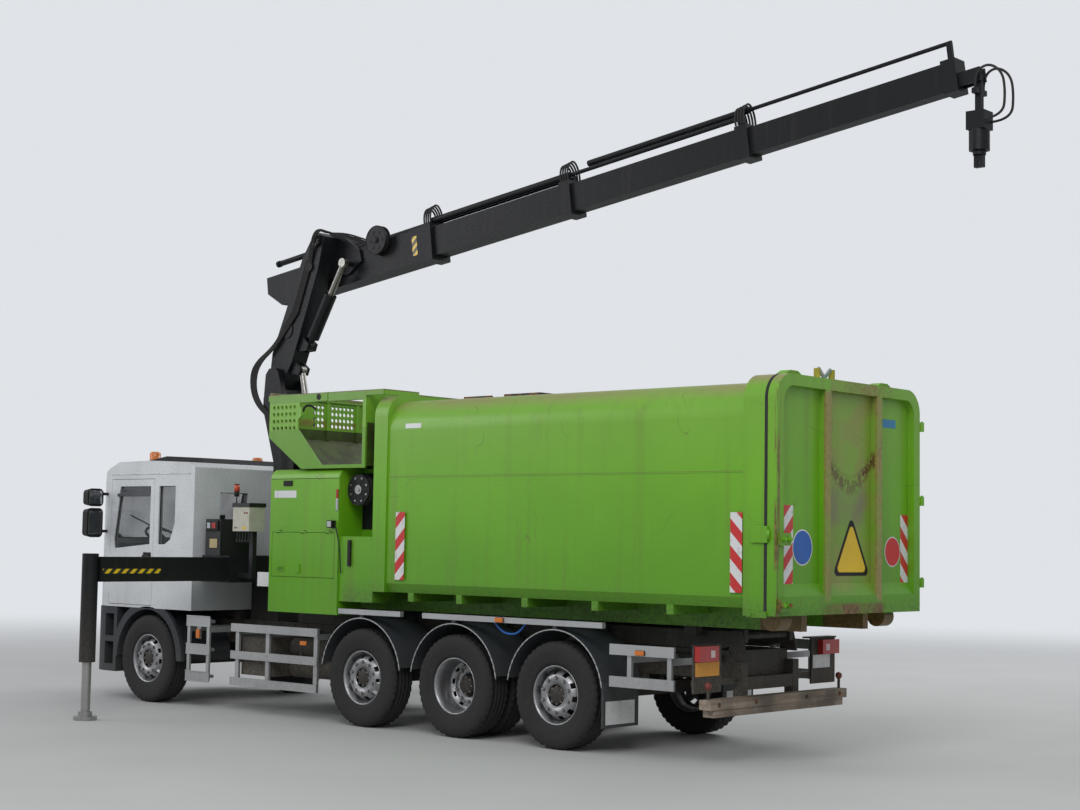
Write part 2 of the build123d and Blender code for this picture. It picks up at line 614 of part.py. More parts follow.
# Fuel tank, battery box, air tanks and the hydraulic tank beside the rails
with BuildPart() as chassis_tanks:
    block(DRIVE_X + 2150, DRIVE_X + 3450, -1150, -RAIL_OUT_Y, 430, 860)
    block(DRIVE_X + 2900, DRIVE_X + 3450, RAIL_OUT_Y, 1150, 430, 860)
    for z in (530, 760):
        bar_x(RAIL_OUT_Y + 190, z, 105, DRIVE_X + 2120, DRIVE_X + 2850)
        bar_x(RAIL_OUT_Y + 420, z, 105, DRIVE_X + 2120, DRIVE_X + 2850)
    block(DRIVE_X + 2300, DRIVE_X + 2340, RAIL_OUT_Y, 950, 500, 800)
    block(DRIVE_X + 2640, DRIVE_X + 2680, RAIL_OUT_Y, 950, 500, 800)
save(chassis_tanks, "chassis_tanks")

# Rear: timber buffer beam on steel brackets, and the lamp plates
with BuildPart() as buffer_beam:
    block(DRIVE_X - 3160, DRIVE_X - 3030, -1150, 1150, 500, 590)
    block(DRIVE_X - 3150, DRIVE_X - 3030, -1090, 1090, 430, 500 - RUNNING_GAP)
save(buffer_beam, "buffer_beam")
with BuildPart() as rear_brackets:
    for side in (1, -1):
        y0, y1 = sorted((side * 380, side * 480))
        block(DRIVE_X - 3030, DRIVE_X - 2930, y0, y1, 430, RAIL_TOP - 100)
        p0, p1 = sorted((side * 760, side * 1190))
        block(DRIVE_X - 2995, DRIVE_X - 2975, p0, p1, 640, 1085)
        s0, s1 = sorted((side * 480, side * 1150))
        block(DRIVE_X - 2975, DRIVE_X - 2935, s0, s1, 700, 760)
        bar_z(DRIVE_X - 3095, side * 1105, 14, 590, 700)
        with Locations((DRIVE_X - 3095, side * 1105, 715)):
            Sphere(30)
    block(DRIVE_X - 3028, DRIVE_X - 2930, -380, 380, 640, 760)
    block(DRIVE_X - 3001, DRIVE_X - 2995, 800, 1180, 790, 925)
    block(DRIVE_X - 3001, DRIVE_X - 2995, -1090, -770, 790, 925)
    block(DRIVE_X - 3005, DRIVE_X - 2900, -1200, -740, 1085, 1100)
    block(DRIVE_X - 2995, DRIVE_X - 2975, -1190, -760, 1030, 1085)
save(rear_brackets, "rear_brackets")
with BuildPart() as lamps:
    for side in (1, -1):
        p0, p1 = sorted((side * 880, side * 1180))
        block(DRIVE_X - 3055, DRIVE_X - 2995, p0, p1, 930, 1070)
        block(CAB_FRONT_X - 140, CAB_FRONT_X + 8, side * 680, side * 960, 910, 1060)
    add(front_bumper.part, mode=Mode.SUBTRACT)
save(lamps, "lamps")

# Mirrors, sun visor, roof spoiler and beacons, cut to the cab's own surface
with BuildPart() as cab_clearance:
    cab_solid(-RUNNING_GAP, CAB_SKIRT)
with BuildPart() as cab_fittings:
    for side in (1, -1):
        for low, high in ((1960.0, 2320.0), (2340.0, 2560.0)):
            with BuildSketch(Plane.YZ.offset(CAB_FRONT_X - 430)):
                with Locations((side * 1450, (low + high) / 2)):
                    RectangleRounded(230, high - low, 60)
            extrude(amount=120, taper=8)
        a0, a1 = sorted((side * 1150, side * 1400))
        for z in (2020, 2480):
            block(CAB_FRONT_X - 390, CAB_FRONT_X - 350, a0, a1, z, z + 35)
        bar_z(CAB_FRONT_X - 760, side * 820, 60, CAB_ROOF - 30, CAB_ROOF + 110)
    side_plate(
        (
            (CAB_REAR_X + 60, CAB_ROOF - 70),
            (CAB_REAR_X + 260, CAB_ROOF + 35),
            (CAB_REAR_X + 900, CAB_ROOF + 65),
            (CAB_REAR_X + 1250, CAB_ROOF + 20),
            (CAB_REAR_X + 1250, CAB_ROOF - 40),
        ),
        -980,
        980,
    )
    block(CAB_FRONT_X - 360, CAB_FRONT_X - 150, -1000, 1000, 2690, 2740)
    add(cab_clearance.part, mode=Mode.SUBTRACT)
save(cab_fittings, "cab_fittings")

# Crane base: foot on the rails, two crossed beam housings and the slew bearing
with BuildPart() as crane_base:
    x0 = LEFT_BEAM_X - 130
    x1 = RIGHT_BEAM_X + 130
    block(x0, x1, -RAIL_OUT_Y, RAIL_OUT_Y, RAIL_TOP, BEAM_Z - BEAM_HIGH / 2 - 20)
    block(x0, x1, -HOUSING_HALF, HOUSING_HALF, BEAM_Z - BEAM_HIGH / 2 - 20, BEAM_Z + BEAM_HIGH / 2 + 20)
    for x in (LEFT_BEAM_X, RIGHT_BEAM_X):
        half = BEAM_WIDE / 2 + RUNNING_GAP
        high = BEAM_HIGH / 2 + RUNNING_GAP
        block(x - half, x + half, -HOUSING_HALF, HOUSING_HALF, BEAM_Z - high, BEAM_Z + high, Mode.SUBTRACT)
    bar_z(COLUMN_X, 0, 290, BEAM_Z + BEAM_HIGH / 2 + 20, 1860)
save(crane_base, "crane_base")

# Outriggers: beam with the leg's jacket, and the leg with its foot
BEAM_INNER_Y = 560.0
for side, hand, x in ((1, "left", LEFT_BEAM_X), (-1, "right", RIGHT_BEAM_X)):
    with BuildPart() as outrigger_beam:
        y0, y1 = sorted((side * BEAM_INNER_Y, side * (LEG_Y - LEG_R + 20)))
        block(x - BEAM_WIDE / 2, x + BEAM_WIDE / 2, y0, y1, BEAM_Z - BEAM_HIGH / 2, BEAM_Z + BEAM_HIGH / 2)
        y0, y1 = sorted((side * (BEAM_INNER_Y - 1), side * (LEG_Y - LEG_R - 60)))
        block(
            x - BEAM_WIDE / 2 + 10, x + BEAM_WIDE / 2 - 10, y0, y1, BEAM_Z - BEAM_HIGH / 2 + 10,
            BEAM_Z + BEAM_HIGH / 2 - 10, Mode.SUBTRACT,
        )
        bar_z(x, side * LEG_Y, LEG_R, 620, 1790)
        bar_z(x, side * LEG_Y, LEG_ROD_R + PIN_GAP, 610, 1760, Mode.SUBTRACT)
    save(outrigger_beam, f"outrigger_beam_{hand}")
    with BuildPart() as outrigger_leg:
        bar_z(x, side * LEG_Y, LEG_ROD_R, 40, 1100)
        bar_z(x, side * LEG_Y, PAD_R, 0, 40)
        bar_z(x, side * LEG_Y, 75, 40, 90)
    save(outrigger_leg, f"outrigger_leg_{hand}")

# Crane column: turns on the bearing, leans forward to the luffing pin between two ears
CYLINDER_PIN_R = 30.0
EAR_IN = 135.0
EAR_OUT = 200.0
LIFT_BASE = (COLUMN_X - 290.0, 2850.0)
LIFT_LUG = (200.0, 262.0)
FOLD_LUG = (520.0, 270.0)
LUFF_PIN_R = 50.0
with BuildPart() as crane_column:
    bar_z(COLUMN_X, 0, 280, 1860 + RUNNING_GAP, 1960)
    side_plate(
        (
            (COLUMN_X - 120, 1955),
            (COLUMN_X - 120, 3050),
            (LUFF_X - 230, 3560),
            (LUFF_X - 230, 3700),
            (LUFF_X + 150, 3700),
            (LUFF_X + 150, 3560),
            (COLUMN_X + 250, 2900),
            (COLUMN_X + 230, 1955),
        ),
        -EAR_OUT,
        EAR_OUT,
    )
    for side in (1, -1):
        low, high = sorted((side * EAR_IN, side * EAR_OUT))
        side_plate(
            (
                (LUFF_X - 230, 3650),
                (LUFF_X - 110, LUFF_Z + 60),
                (LUFF_X - 60, LUFF_Z + 110),
                (LUFF_X + 60, LUFF_Z + 110),
                (LUFF_X + 120, LUFF_Z + 40),
                (LUFF_X + 150, 3650),
            ),
            low,
            high,
        )
        low, high = sorted((side * 92, side * 130))
        side_plate(
            (
                (COLUMN_X - 110, 2600),
                (COLUMN_X - 340, 2790),
                (COLUMN_X - 350, 2870),
                (COLUMN_X - 300, 2910),
                (COLUMN_X - 110, 2930),
            ),
            low,
            high,
        )
    bar_y(LUFF_X, LUFF_Z, LUFF_PIN_R, -EAR_OUT, EAR_OUT)
    bar_y(LIFT_BASE[0], LIFT_BASE[1], CYLINDER_PIN_R, -130, 130)
save(crane_column, "crane_column")

# Inner boom: a box between the luffing pin and the elbow, lugs for both cylinders
INNER_HALF = 120.0
ELBOW_PIN_R = 45.0
INNER_DIR = (ELBOW_X - LUFF_X, ELBOW_Z - LUFF_Z)
INNER_LENGTH = (INNER_DIR[0] ** 2 + INNER_DIR[1] ** 2) ** 0.5
UX = INNER_DIR[0] / INNER_LENGTH
UZ = INNER_DIR[1] / INNER_LENGTH


def inner_point(along, across):
    """A side-view point by distance along the inner boom and towards its underside."""
    return (LUFF_X + UX * along - UZ * across, LUFF_Z + UZ * along + UX * across)


LIFT_EYE = inner_point(*LIFT_LUG)
FOLD_BASE = inner_point(*FOLD_LUG)
EYE_HALF = 38.0
LUG_T = 32.0
with BuildPart() as inner_boom:
    side_plate(
        (
            inner_point(-110, -110),
            inner_point(250, -210),
            inner_point(1500, -170),
            inner_point(INNER_LENGTH + 90, -90),
            inner_point(INNER_LENGTH + 90, 90),
            inner_point(1450, 150),
            inner_point(560, 172),
            inner_point(250, 172),
            inner_point(-110, 110),
        ),
        -INNER_HALF,
        INNER_HALF,
    )
    for side in (1, -1):
        y0, y1 = sorted((side * (EYE_HALF + 8), side * (EYE_HALF + 8 + LUG_T)))
        along, across = LIFT_LUG
        side_plate(
            (
                inner_point(along - 90, 140),
                inner_point(along - 45, across + 50),
                inner_point(along + 45, across + 50),
                inner_point(along + 90, 140),
            ),
            y0,
            y1,
        )
        along, across = FOLD_LUG
        side_plate(
            (
                inner_point(along - 130, 140),
                inner_point(along - 45, across + 50),
                inner_point(along + 45, across + 50),
                inner_point(along + 90, 140),
            ),
            y0,
            y1,
        )
    bar_y(FOLD_BASE[0], FOLD_BASE[1], CYLINDER_PIN_R, -EYE_HALF - 10, EYE_HALF + 10)
    bar_y(LUFF_X, LUFF_Z, LUFF_PIN_R + PIN_GAP, -EAR_OUT, EAR_OUT, Mode.SUBTRACT)
    bar_y(ELBOW_X, ELBOW_Z, ELBOW_PIN_R + PIN_GAP, -EAR_OUT, EAR_OUT, Mode.SUBTRACT)
    cover = inner_point(600, -70)
    bar_y(cover[0], cover[1], 105, INNER_HALF, INNER_HALF + 14)
    cover = inner_point(INNER_LENGTH - 330, 0)
    bar_y(cover[0], cover[1], 62, INNER_HALF, INNER_HALF + 24)
save(inner_boom, "inner_boom")

# Outer boom: hollow box behind the inner boom, with a bracket up to the elbow pin
RISE = radians(BOOM_RISE)
BOOM = Plane(
    origin=(ELBOW_X - BOOM_DROP * sin(RISE), BOOM_Y, ELBOW_Z - BOOM_DROP * cos(RISE)),
    x_dir=(-cos(RISE), 0, sin(RISE)),
    z_dir=(sin(RISE), 0, cos(RISE)),
)


def boom_section(along):
    """The plane across the boom at a station behind the elbow; its y points up."""
    return Plane(origin=BOOM.from_local_coords((along, 0, 0)), x_dir=(0, -1, 0), z_dir=BOOM.x_dir)


def boom_box(start, end, wide, high, mode=Mode.ADD, y=0.0, z=0.0):
    """A box along the boom, from one station to another, off its middle line by y and z."""
    with BuildSketch(boom_section(start)) as profile:
        with Locations((-y, z)):
            Rectangle(wide, high)
    extrude(profile.sketch, amount=end - start, mode=mode)


def boom_bar(start, end, r, y, z, mode=Mode.ADD):
    """A round bar along the boom, off its middle line by y and z."""
    with BuildSketch(boom_section(start)) as profile:
        with Locations((-y, z)):
            Circle(r)
    extrude(profile.sketch, amount=end - start, mode=mode)


# Stages, from the main box outwards: start, mouth, outer width, outer height, wall
STAGES = (
    {"start": BOOM_TAIL, "mouth": 1650.0, "wide": 260.0, "high": 400.0, "wall": 14.0},
    {"start": 1050.0, "mouth": 3760.0, "wide": 216.0, "high": 340.0, "wall": 8.0},
    {"start": 3210.0, "mouth": 6100.0, "wide": 184.0, "high": 306.0, "wall": 7.0},
    {"start": 5600.0, "mouth": 8425.0, "wide": 152.0, "high": 276.0, "wall": 7.0},
)
COLLAR_LONG = 150.0
COLLAR_T = 22.0
TAIL_PAD = 120.0
# Extension cylinders: barrel radius, rod radius, and place across and above the boom, for each stage
RAMS = (
    {"barrel": 42.0, "rod": 24.0, "y": -62.0, "z": 262.0},
    {"barrel": 38.0, "rod": 22.0, "y": 52.0, "z": 262.0},
    {"barrel": 34.0, "rod": 20.0, "y": -10.0, "z": 345.0},
)
RAM_WALL = 9.0
STROKE = 1950.0


def stage_solid(number):
    """One boom stage: hollow box, mouth collar, tail pad, its ram's barrel and the rod of the ram before."""
    stage = STAGES[number]
    wide, high, wall = stage["wide"], stage["high"], stage["wall"]
    boom_box(stage["start"], stage["mouth"], wide, high)
    boom_box(stage["mouth"] - COLLAR_LONG, stage["mouth"], wide + 2 * COLLAR_T, high + 2 * COLLAR_T)
    if number > 0:
        before = STAGES[number - 1]
        pad_wide = before["wide"] - 2 * before["wall"] - 2 * RUNNING_GAP
        pad_high = before["high"] - 2 * before["wall"] - 2 * RUNNING_GAP
        boom_box(stage["start"], stage["start"] + TAIL_PAD, pad_wide, pad_high)
    if number < len(STAGES) - 1:
        ram = RAMS[number]
        first = stage["mouth"] - STROKE - 200
        boom_bar(first, stage["mouth"] - 20, ram["barrel"], ram["y"], ram["z"])
        for at in (first + 60, stage["mouth"] - COLLAR_LONG):
            tall = ram["z"] - high / 2 + 10
            if at > stage["start"] + STROKE or number == 0:
                boom_box(at, at + 60, 40, tall, y=ram["y"], z=high / 2 - 10 + tall / 2)
    if number > 0:
        ram = RAMS[number - 1]
        tall = ram["z"] - high / 2 + 10
        boom_bar(before["mouth"] - 130, stage["mouth"] - 60, ram["rod"], ram["y"], ram["z"])
        boom_box(
            stage["mouth"] - 110, stage["mouth"] - 60, 2 * ram["rod"], tall, y=ram["y"],
            z=high / 2 - 10 + tall / 2,
        )
    if number < len(STAGES) - 1:
        after = STAGES[number + 1]
        boom_box(stage["start"] - 5, stage["mouth"] - 80, wide - 2 * wall, high - 2 * wall, Mode.SUBTRACT)
        gap = 2 * RUNNING_GAP
        boom_box(
            stage["mouth"] - 100, stage["mouth"] + 5, after["wide"] + gap, after["high"] + gap,
            Mode.SUBTRACT,
        )
        ram = RAMS[number]
        first = stage["mouth"] - STROKE - 200
        boom_bar(first + 40, stage["mouth"] + 5, ram["rod"] + PIN_GAP, ram["y"], ram["z"], Mode.SUBTRACT)
    else:
        boom_box(stage["start"] - 5, stage["mouth"] - 260, wide - 2 * wall, high - 2 * wall, Mode.SUBTRACT)


FOLD_EYE = (ELBOW_X - 350.0, ELBOW_Z - 285.0)
REEL_R = 175.0
BOOM_SIDE = Plane(origin=BOOM.origin - BOOM.y_dir * 200, x_dir=BOOM.x_dir, z_dir=BOOM.y_dir)
with BuildPart() as outer_boom:
    stage_solid(0)
    with BuildSketch(BOOM_SIDE) as corner:
        with BuildLine():
            Polyline((BOOM_TAIL - 5, 5.0), (BOOM_TAIL - 5, 205.0), (BOOM_TAIL + 260, 205.0), close=True)
        make_face()
    extrude(corner.sketch, amount=400, mode=Mode.SUBTRACT)
    inner_face = BOOM_Y + STAGES[0]["wide"] / 2
    outer_face = BOOM_Y - STAGES[0]["wide"] / 2
    for y0, y1 in ((inner_face - 1, -INNER_HALF - 6), (outer_face - 30, outer_face + 1)):
        side_plate(
            (
                (ELBOW_X + 130, ELBOW_Z + 60),
                (ELBOW_X + 60, ELBOW_Z + 130),
                (ELBOW_X - 110, ELBOW_Z + 120),
                (ELBOW_X - 480, ELBOW_Z - 120),
                (ELBOW_X - 520, ELBOW_Z - 260),
                (ELBOW_X - 300, ELBOW_Z - 400),
                (ELBOW_X + 260, ELBOW_Z - 460),
                (ELBOW_X + 200, ELBOW_Z - 100),
            ),
            y0,
            y1,
        )
    bar_y(ELBOW_X, ELBOW_Z, ELBOW_PIN_R, outer_face - 40, INNER_HALF + 40)
    bar_y(ELBOW_X, ELBOW_Z, ELBOW_PIN_R + 25, INNER_HALF + 6, INNER_HALF + 40)
    bar_y(FOLD_EYE[0], FOLD_EYE[1], CYLINDER_PIN_R, -INNER_HALF - 10, -EYE_HALF - 6)
    reel = BOOM.from_local_coords((820, 0, 190))
    bar_y(reel.X, reel.Z, 26, inner_face - 1, inner_face + 120)
    bar_y(reel.X, reel.Z, REEL_R, inner_face + 20, inner_face + 34)
    bar_y(reel.X, reel.Z, REEL_R * 0.6, inner_face + 34, inner_face + 86)
    bar_y(reel.X, reel.Z, REEL_R, inner_face + 86, inner_face + 100)
save(outer_boom, "outer_boom")

TIP_PIN_R = 18.0
TIP_PIN = BOOM.from_local_coords((TIP_STATION, 0, TIP_PIN_DROP))
for number in (1, 2, 3):
    with BuildPart() as extension:
        stage_solid(number)
        if number == 3:
            for y in (-48, 48):
                boom_box(STAGES[3]["mouth"] - 20, TIP_STATION + 40, 22, 130, y=y, z=TIP_PIN_DROP + 10)
            bar_y(TIP_PIN.X, TIP_PIN.Z, TIP_PIN_R, BOOM_Y - 64, BOOM_Y + 64)
    save(extension, f"boom_extension_{number}")

# Tip: link hanging from the boom's pin, and the rotator that turns below it
LINK_LONG = 330.0
LINK_R = 36.0
LUG_R = 15.0
HOSE_Y = 82.0
with BuildPart() as tip_link:
    bar_y(TIP_PIN.X, TIP_PIN.Z, LINK_R, BOOM_Y - 30, BOOM_Y + 30)
    block(TIP_PIN.X - 30, TIP_PIN.X + 30, BOOM_Y - 28, BOOM_Y + 28, TIP_PIN.Z - LINK_LONG, TIP_PIN.Z)
    bar_y(TIP_PIN.X, TIP_PIN.Z, TIP_PIN_R + PIN_GAP, BOOM_Y - 40, BOOM_Y + 40, Mode.SUBTRACT)
    block(
        TIP_PIN.X - 90, TIP_PIN.X + 90, BOOM_Y - 90, BOOM_Y + 90, TIP_PIN.Z - LINK_LONG - 170,
        TIP_PIN.Z - LINK_LONG,
    )
    block(
        TIP_PIN.X - 25, TIP_PIN.X + 25, BOOM_Y - HOSE_Y - 20, BOOM_Y + HOSE_Y + 20, TIP_PIN.Z - 170,
        TIP_PIN.Z - 120,
    )
save(tip_link, "tip_link")

# Tip hoses: from the clamp on the link, up and out behind it, and down into the valve block
HOSE_REACH = 300.0
HOSE_ROUTE = (
    (0.0, -120.0 + RUNNING_GAP),
    (0.0, 20.0),
    (-130.0, 90.0),
    (-270.0, -10.0),
    (-HOSE_REACH, -190.0),
    (-HOSE_REACH + 20, -420.0),
    (-90.0 - RUNNING_GAP, -420.0),
)


def route_radius(points):
    """The largest radius that fits every corner of a route, by its shorter run."""
    radii = []
    for before, corner, after in zip(points, points[1:], points[2:]):
        first, second = Vector(*corner) - Vector(*before), Vector(*after) - Vector(*corner)
        turn = radians(first.get_angle(second))
        radii.append(0.45 * min(first.length, second.length) * cos(turn / 2) / sin(turn / 2))
    return min(radii)


hose_points = [(TIP_PIN.X + x, TIP_PIN.Z + z) for x, z in HOSE_ROUTE]
print("tip hose radius", round(route_radius(hose_points), 1))
with BuildPart() as tip_hoses:
    for y in (BOOM_Y - HOSE_Y, BOOM_Y + HOSE_Y):
        with BuildLine() as line:
            FilletPolyline(*[(x, y, z) for x, z in hose_points], radius=route_radius(hose_points))
        with BuildSketch(Plane(line.line @ 0, z_dir=line.line % 0)):
            Circle(HOSE_R)
        sweep(path=line.line)
save(tip_hoses, "tip_hoses")
ROTATOR_TOP = TIP_PIN.Z - LINK_LONG - 170
LUG_Z = ROTATOR_TOP - 300
with BuildPart() as rotator:
    bar_z(TIP_PIN.X, BOOM_Y, ROTATOR_R, ROTATOR_TOP - 190, ROTATOR_TOP - RUNNING_GAP)
    bar_z(TIP_PIN.X, BOOM_Y, 60, ROTATOR_TOP - 230, ROTATOR_TOP - 190)
    block(TIP_PIN.X - 45, TIP_PIN.X + 45, BOOM_Y - 25, BOOM_Y + 25, LUG_Z - 45, ROTATOR_TOP - 220)
    bar_y(TIP_PIN.X, LUG_Z, LUG_R, BOOM_Y - 40, BOOM_Y + 40, Mode.SUBTRACT)
save(rotator, "rotator")


# Lift and fold cylinders: barrel on one pin, rod eye at the other
def cylinder_pair(name, base, eye, barrel_r, rod_r, barrel_share, neck):
    """A hydraulic cylinder between two pins across the lorry, as a barrel and a rod."""
    dx, dz = eye[0] - base[0], eye[1] - base[1]
    length = (dx * dx + dz * dz) ** 0.5
    line = Vector(dx / length, 0, dz / length)
    start = Vector(base[0], 0, base[1])

    def across(along):
        return Plane(origin=start + line * along, x_dir=(0, 1, 0), z_dir=line)

    barrel_end = length * barrel_share
    with BuildPart() as barrel:
        bar_y(base[0], base[1], barrel_r * 0.75, -EYE_HALF, EYE_HALF)
        with BuildSketch(across(30)) as neck_section:
            Circle(EYE_HALF)
        extrude(neck_section.sketch, amount=neck)
        with BuildSketch(across(neck)) as outside:
            Circle(barrel_r)
        extrude(outside.sketch, amount=barrel_end - neck)
        with BuildSketch(across(neck + 20)) as bore:
            Circle(rod_r + PIN_GAP)
        extrude(bore.sketch, amount=length, mode=Mode.SUBTRACT)
        bar_y(base[0], base[1], CYLINDER_PIN_R + PIN_GAP, -EYE_HALF - 20, EYE_HALF + 20, Mode.SUBTRACT)
    save(barrel, f"{name}_barrel")
    with BuildPart() as rod:
        bar_y(eye[0], eye[1], rod_r * 1.4, -EYE_HALF, EYE_HALF)
        with BuildSketch(across(length * 0.35)) as shaft:
            Circle(rod_r)
        extrude(shaft.sketch, amount=length * 0.65 - rod_r)
    save(rod, f"{name}_rod")


# Container body: rolled side walls and roof, front and rear frames, floor beams and rollers
def arch_outline(half, bottom, top, corner, roll=0.0):
    """A cross-section with a flat bottom and round top corners, its lower edges cut back by roll."""
    with BuildLine() as edge:
        Line((-half + roll, bottom), (half - roll, bottom))
        if roll:
            Line((half - roll, bottom), (half, bottom + 1.6 * roll))
            Line((-half, bottom + 1.6 * roll), (-half + roll, bottom))
        Line((half, bottom + 1.6 * roll), (half, top - corner))
        TangentArc((half, top - corner), (half - corner, top), tangent=(0, 1))
        Line((half - corner, top), (-half + corner, top))
        TangentArc((-half + corner, top), (-half, top - corner), tangent=(-1, 0))
        Line((-half, top - corner), (-half, bottom + 1.6 * roll))
    make_face(edge.edges())


FRAME_BOTTOM = 1374.0
SEAM_Z = 2663.0
SEAM_PROUD = 4.0
DOOR_X1 = DOOR_SEAM_X - DOOR_GAP
DOOR_X0 = DOOR_X1 - REAR_DOOR_T
HINGE_Y = -FRAME_HALF - 40.0
HINGE_EYE_R = 22.0
HINGE_PIN_R = 12.0
HINGE_LEVELS = (1650.0, 2450.0, 3180.0)

with BuildPart() as container_body:
    for x0, x1, half, bottom, top, corner, roll in (
        (REAR_FRAME_X, FRAME_BACK_X, BODY_HALF, BODY_BOTTOM, BODY_TOP, BODY_TOP_R, 60.0),
        (FRAME_BACK_X, FRAME_FRONT_X, FRAME_HALF, BODY_BOTTOM, FRAME_TOP, FRAME_TOP_R, 0.0),
        (DOOR_SEAM_X, REAR_FRAME_X, FRAME_HALF, FRAME_BOTTOM, FRAME_TOP, FRAME_TOP_R, 0.0),
    ):
        with BuildSketch(Plane.YZ.offset(x0)):
            arch_outline(half, bottom, top, corner, roll)
        extrude(amount=x1 - x0)
    for side in (1, -1):
        y0, y1 = sorted((side * (BODY_HALF - 10), side * (BODY_HALF + SEAM_PROUD)))
        block(REAR_FRAME_X, FRAME_BACK_X, y0, y1, SEAM_Z - 15, SEAM_Z + 15)
    with BuildSketch(Plane.YZ.offset(DOOR_SEAM_X - 5)):
        arch_outline(BODY_HALF - BODY_WALL, BODY_BOTTOM + 110, BODY_TOP - BODY_WALL, BODY_TOP_R - BODY_WALL)
    extrude(amount=FRAME_FRONT_X - 60 - DOOR_SEAM_X, mode=Mode.SUBTRACT)
    for side in (1, -1):
        y0, y1 = sorted((side * (SKID_Y - 45), side * (SKID_Y + 45)))
        block(DOOR_SEAM_X + 60, FRAME_FRONT_X + 1600, y0, y1, BODY_BOTTOM - 220, BODY_BOTTOM)
        for x in (0.0, -900.0, -1800.0, -2700.0, 700.0):
            c0, c1 = sorted((side * SKID_Y, side * (BODY_HALF - 60)))
            block(DRIVE_X + x - 40, DRIVE_X + x + 40, c0, c1, BODY_BOTTOM - 90, BODY_BOTTOM)
        r0, r1 = sorted((side * 800, side * 980))
        bar_y(DOOR_SEAM_X + 110, BODY_BOTTOM - 110, 95, r0, r1)
        block(DOOR_SEAM_X + 80, DOOR_SEAM_X + 140, r0, r1, BODY_BOTTOM - 60, BODY_BOTTOM)
    for z in HINGE_LEVELS:
        block(DOOR_X0, DOOR_SEAM_X + 80, HINGE_Y + 7, -FRAME_HALF - DOOR_GAP, z - 40, z)
        block(DOOR_SEAM_X + 10, DOOR_SEAM_X + 80, HINGE_Y + 7, -FRAME_HALF, z - 40, z)
        bar_z(DOOR_X0, HINGE_Y, HINGE_EYE_R, z - 40, z)
        bar_z(DOOR_X0, HINGE_Y, HINGE_PIN_R, z, z + 60)
save(container_body, "container_body")

# Rear door: frame with rounded top corners, recessed panel and two upright ribs, hinged on the right
DOOR_BOTTOM = 1380.0
DOOR_RIBS = (410.0, -490.0)
with BuildPart() as rear_door:
    with BuildSketch(Plane.YZ.offset(DOOR_X0)):
        arch_outline(FRAME_HALF, DOOR_BOTTOM, FRAME_TOP, FRAME_TOP_R)
    extrude(amount=REAR_DOOR_T)
    with BuildSketch(Plane.YZ.offset(DOOR_X0 - 5)):
        arch_outline(FRAME_HALF - 110, DOOR_BOTTOM + 170, FRAME_TOP - 105, FRAME_TOP_R - 80)
    extrude(amount=75, mode=Mode.SUBTRACT)
    for y in DOOR_RIBS:
        block(DOOR_X0, DOOR_X0 + 80, y - 45, y + 45, DOOR_BOTTOM + 60, FRAME_TOP - 60)
    edge = FRAME_HALF - 105
    low, high = DOOR_RIBS[1], DOOR_RIBS[0]
    for y0, y1 in ((-edge, low - 45), (low + 45, high - 45), (high + 45, edge)):
        side_plate(
            (
                (DOOR_X0 + 5, DOOR_BOTTOM + 165),
                (DOOR_X0 + 75, DOOR_BOTTOM + 290),
                (DOOR_X0 + 75, DOOR_BOTTOM + 165),
            ),
            y0,
            y1,
        )
    for z in (DOOR_BOTTOM + 40, DOOR_BOTTOM + 620):
        block(DOOR_X0 - 30, DOOR_X0, FRAME_HALF - 190, FRAME_HALF - 20, z, z + 110)
        for y in (FRAME_HALF - 150, FRAME_HALF - 60):
            bar_x(y, z + 55, 26, DOOR_X0 - 50, DOOR_X0 - 30)
    for z in HINGE_LEVELS:
        block(DOOR_X0, DOOR_X0 + 30, HINGE_Y, -FRAME_HALF + 5, z + RUNNING_GAP, z + 50)
        bar_z(DOOR_X0, HINGE_Y, HINGE_EYE_R, z + RUNNING_GAP, z + 50)
        bar_z(DOOR_X0, HINGE_Y, HINGE_PIN_R + PIN_GAP, z, z + 70, Mode.SUBTRACT)
save(rear_door, "rear_door")

# Press end: housing between the front frame and the hopper, open at the top into the hopper
PRESS_HALF = 900.0
PRESS_TOP = 2760.0
with BuildPart() as press_housing:
    block(FRAME_FRONT_X, CABINET_FRONT_X - 60, -PRESS_HALF, PRESS_HALF, BODY_BOTTOM, PRESS_TOP)
    block(
        HOPPER_BACK_X + 120, CABINET_FRONT_X - 420, -PRESS_HALF + 60, PRESS_HALF - 60,
        BODY_BOTTOM + 700, PRESS_TOP + 10, Mode.SUBTRACT,
    )
save(press_housing, "press_housing")

# Hopper: sheet walls with a rim, slanted front bottom and perforated windows
HOPPER_HALF = FRAME_HALF - 5
SHEET = 20.0
HOLE_R = 27.0
HOLE_PITCH = 78.0
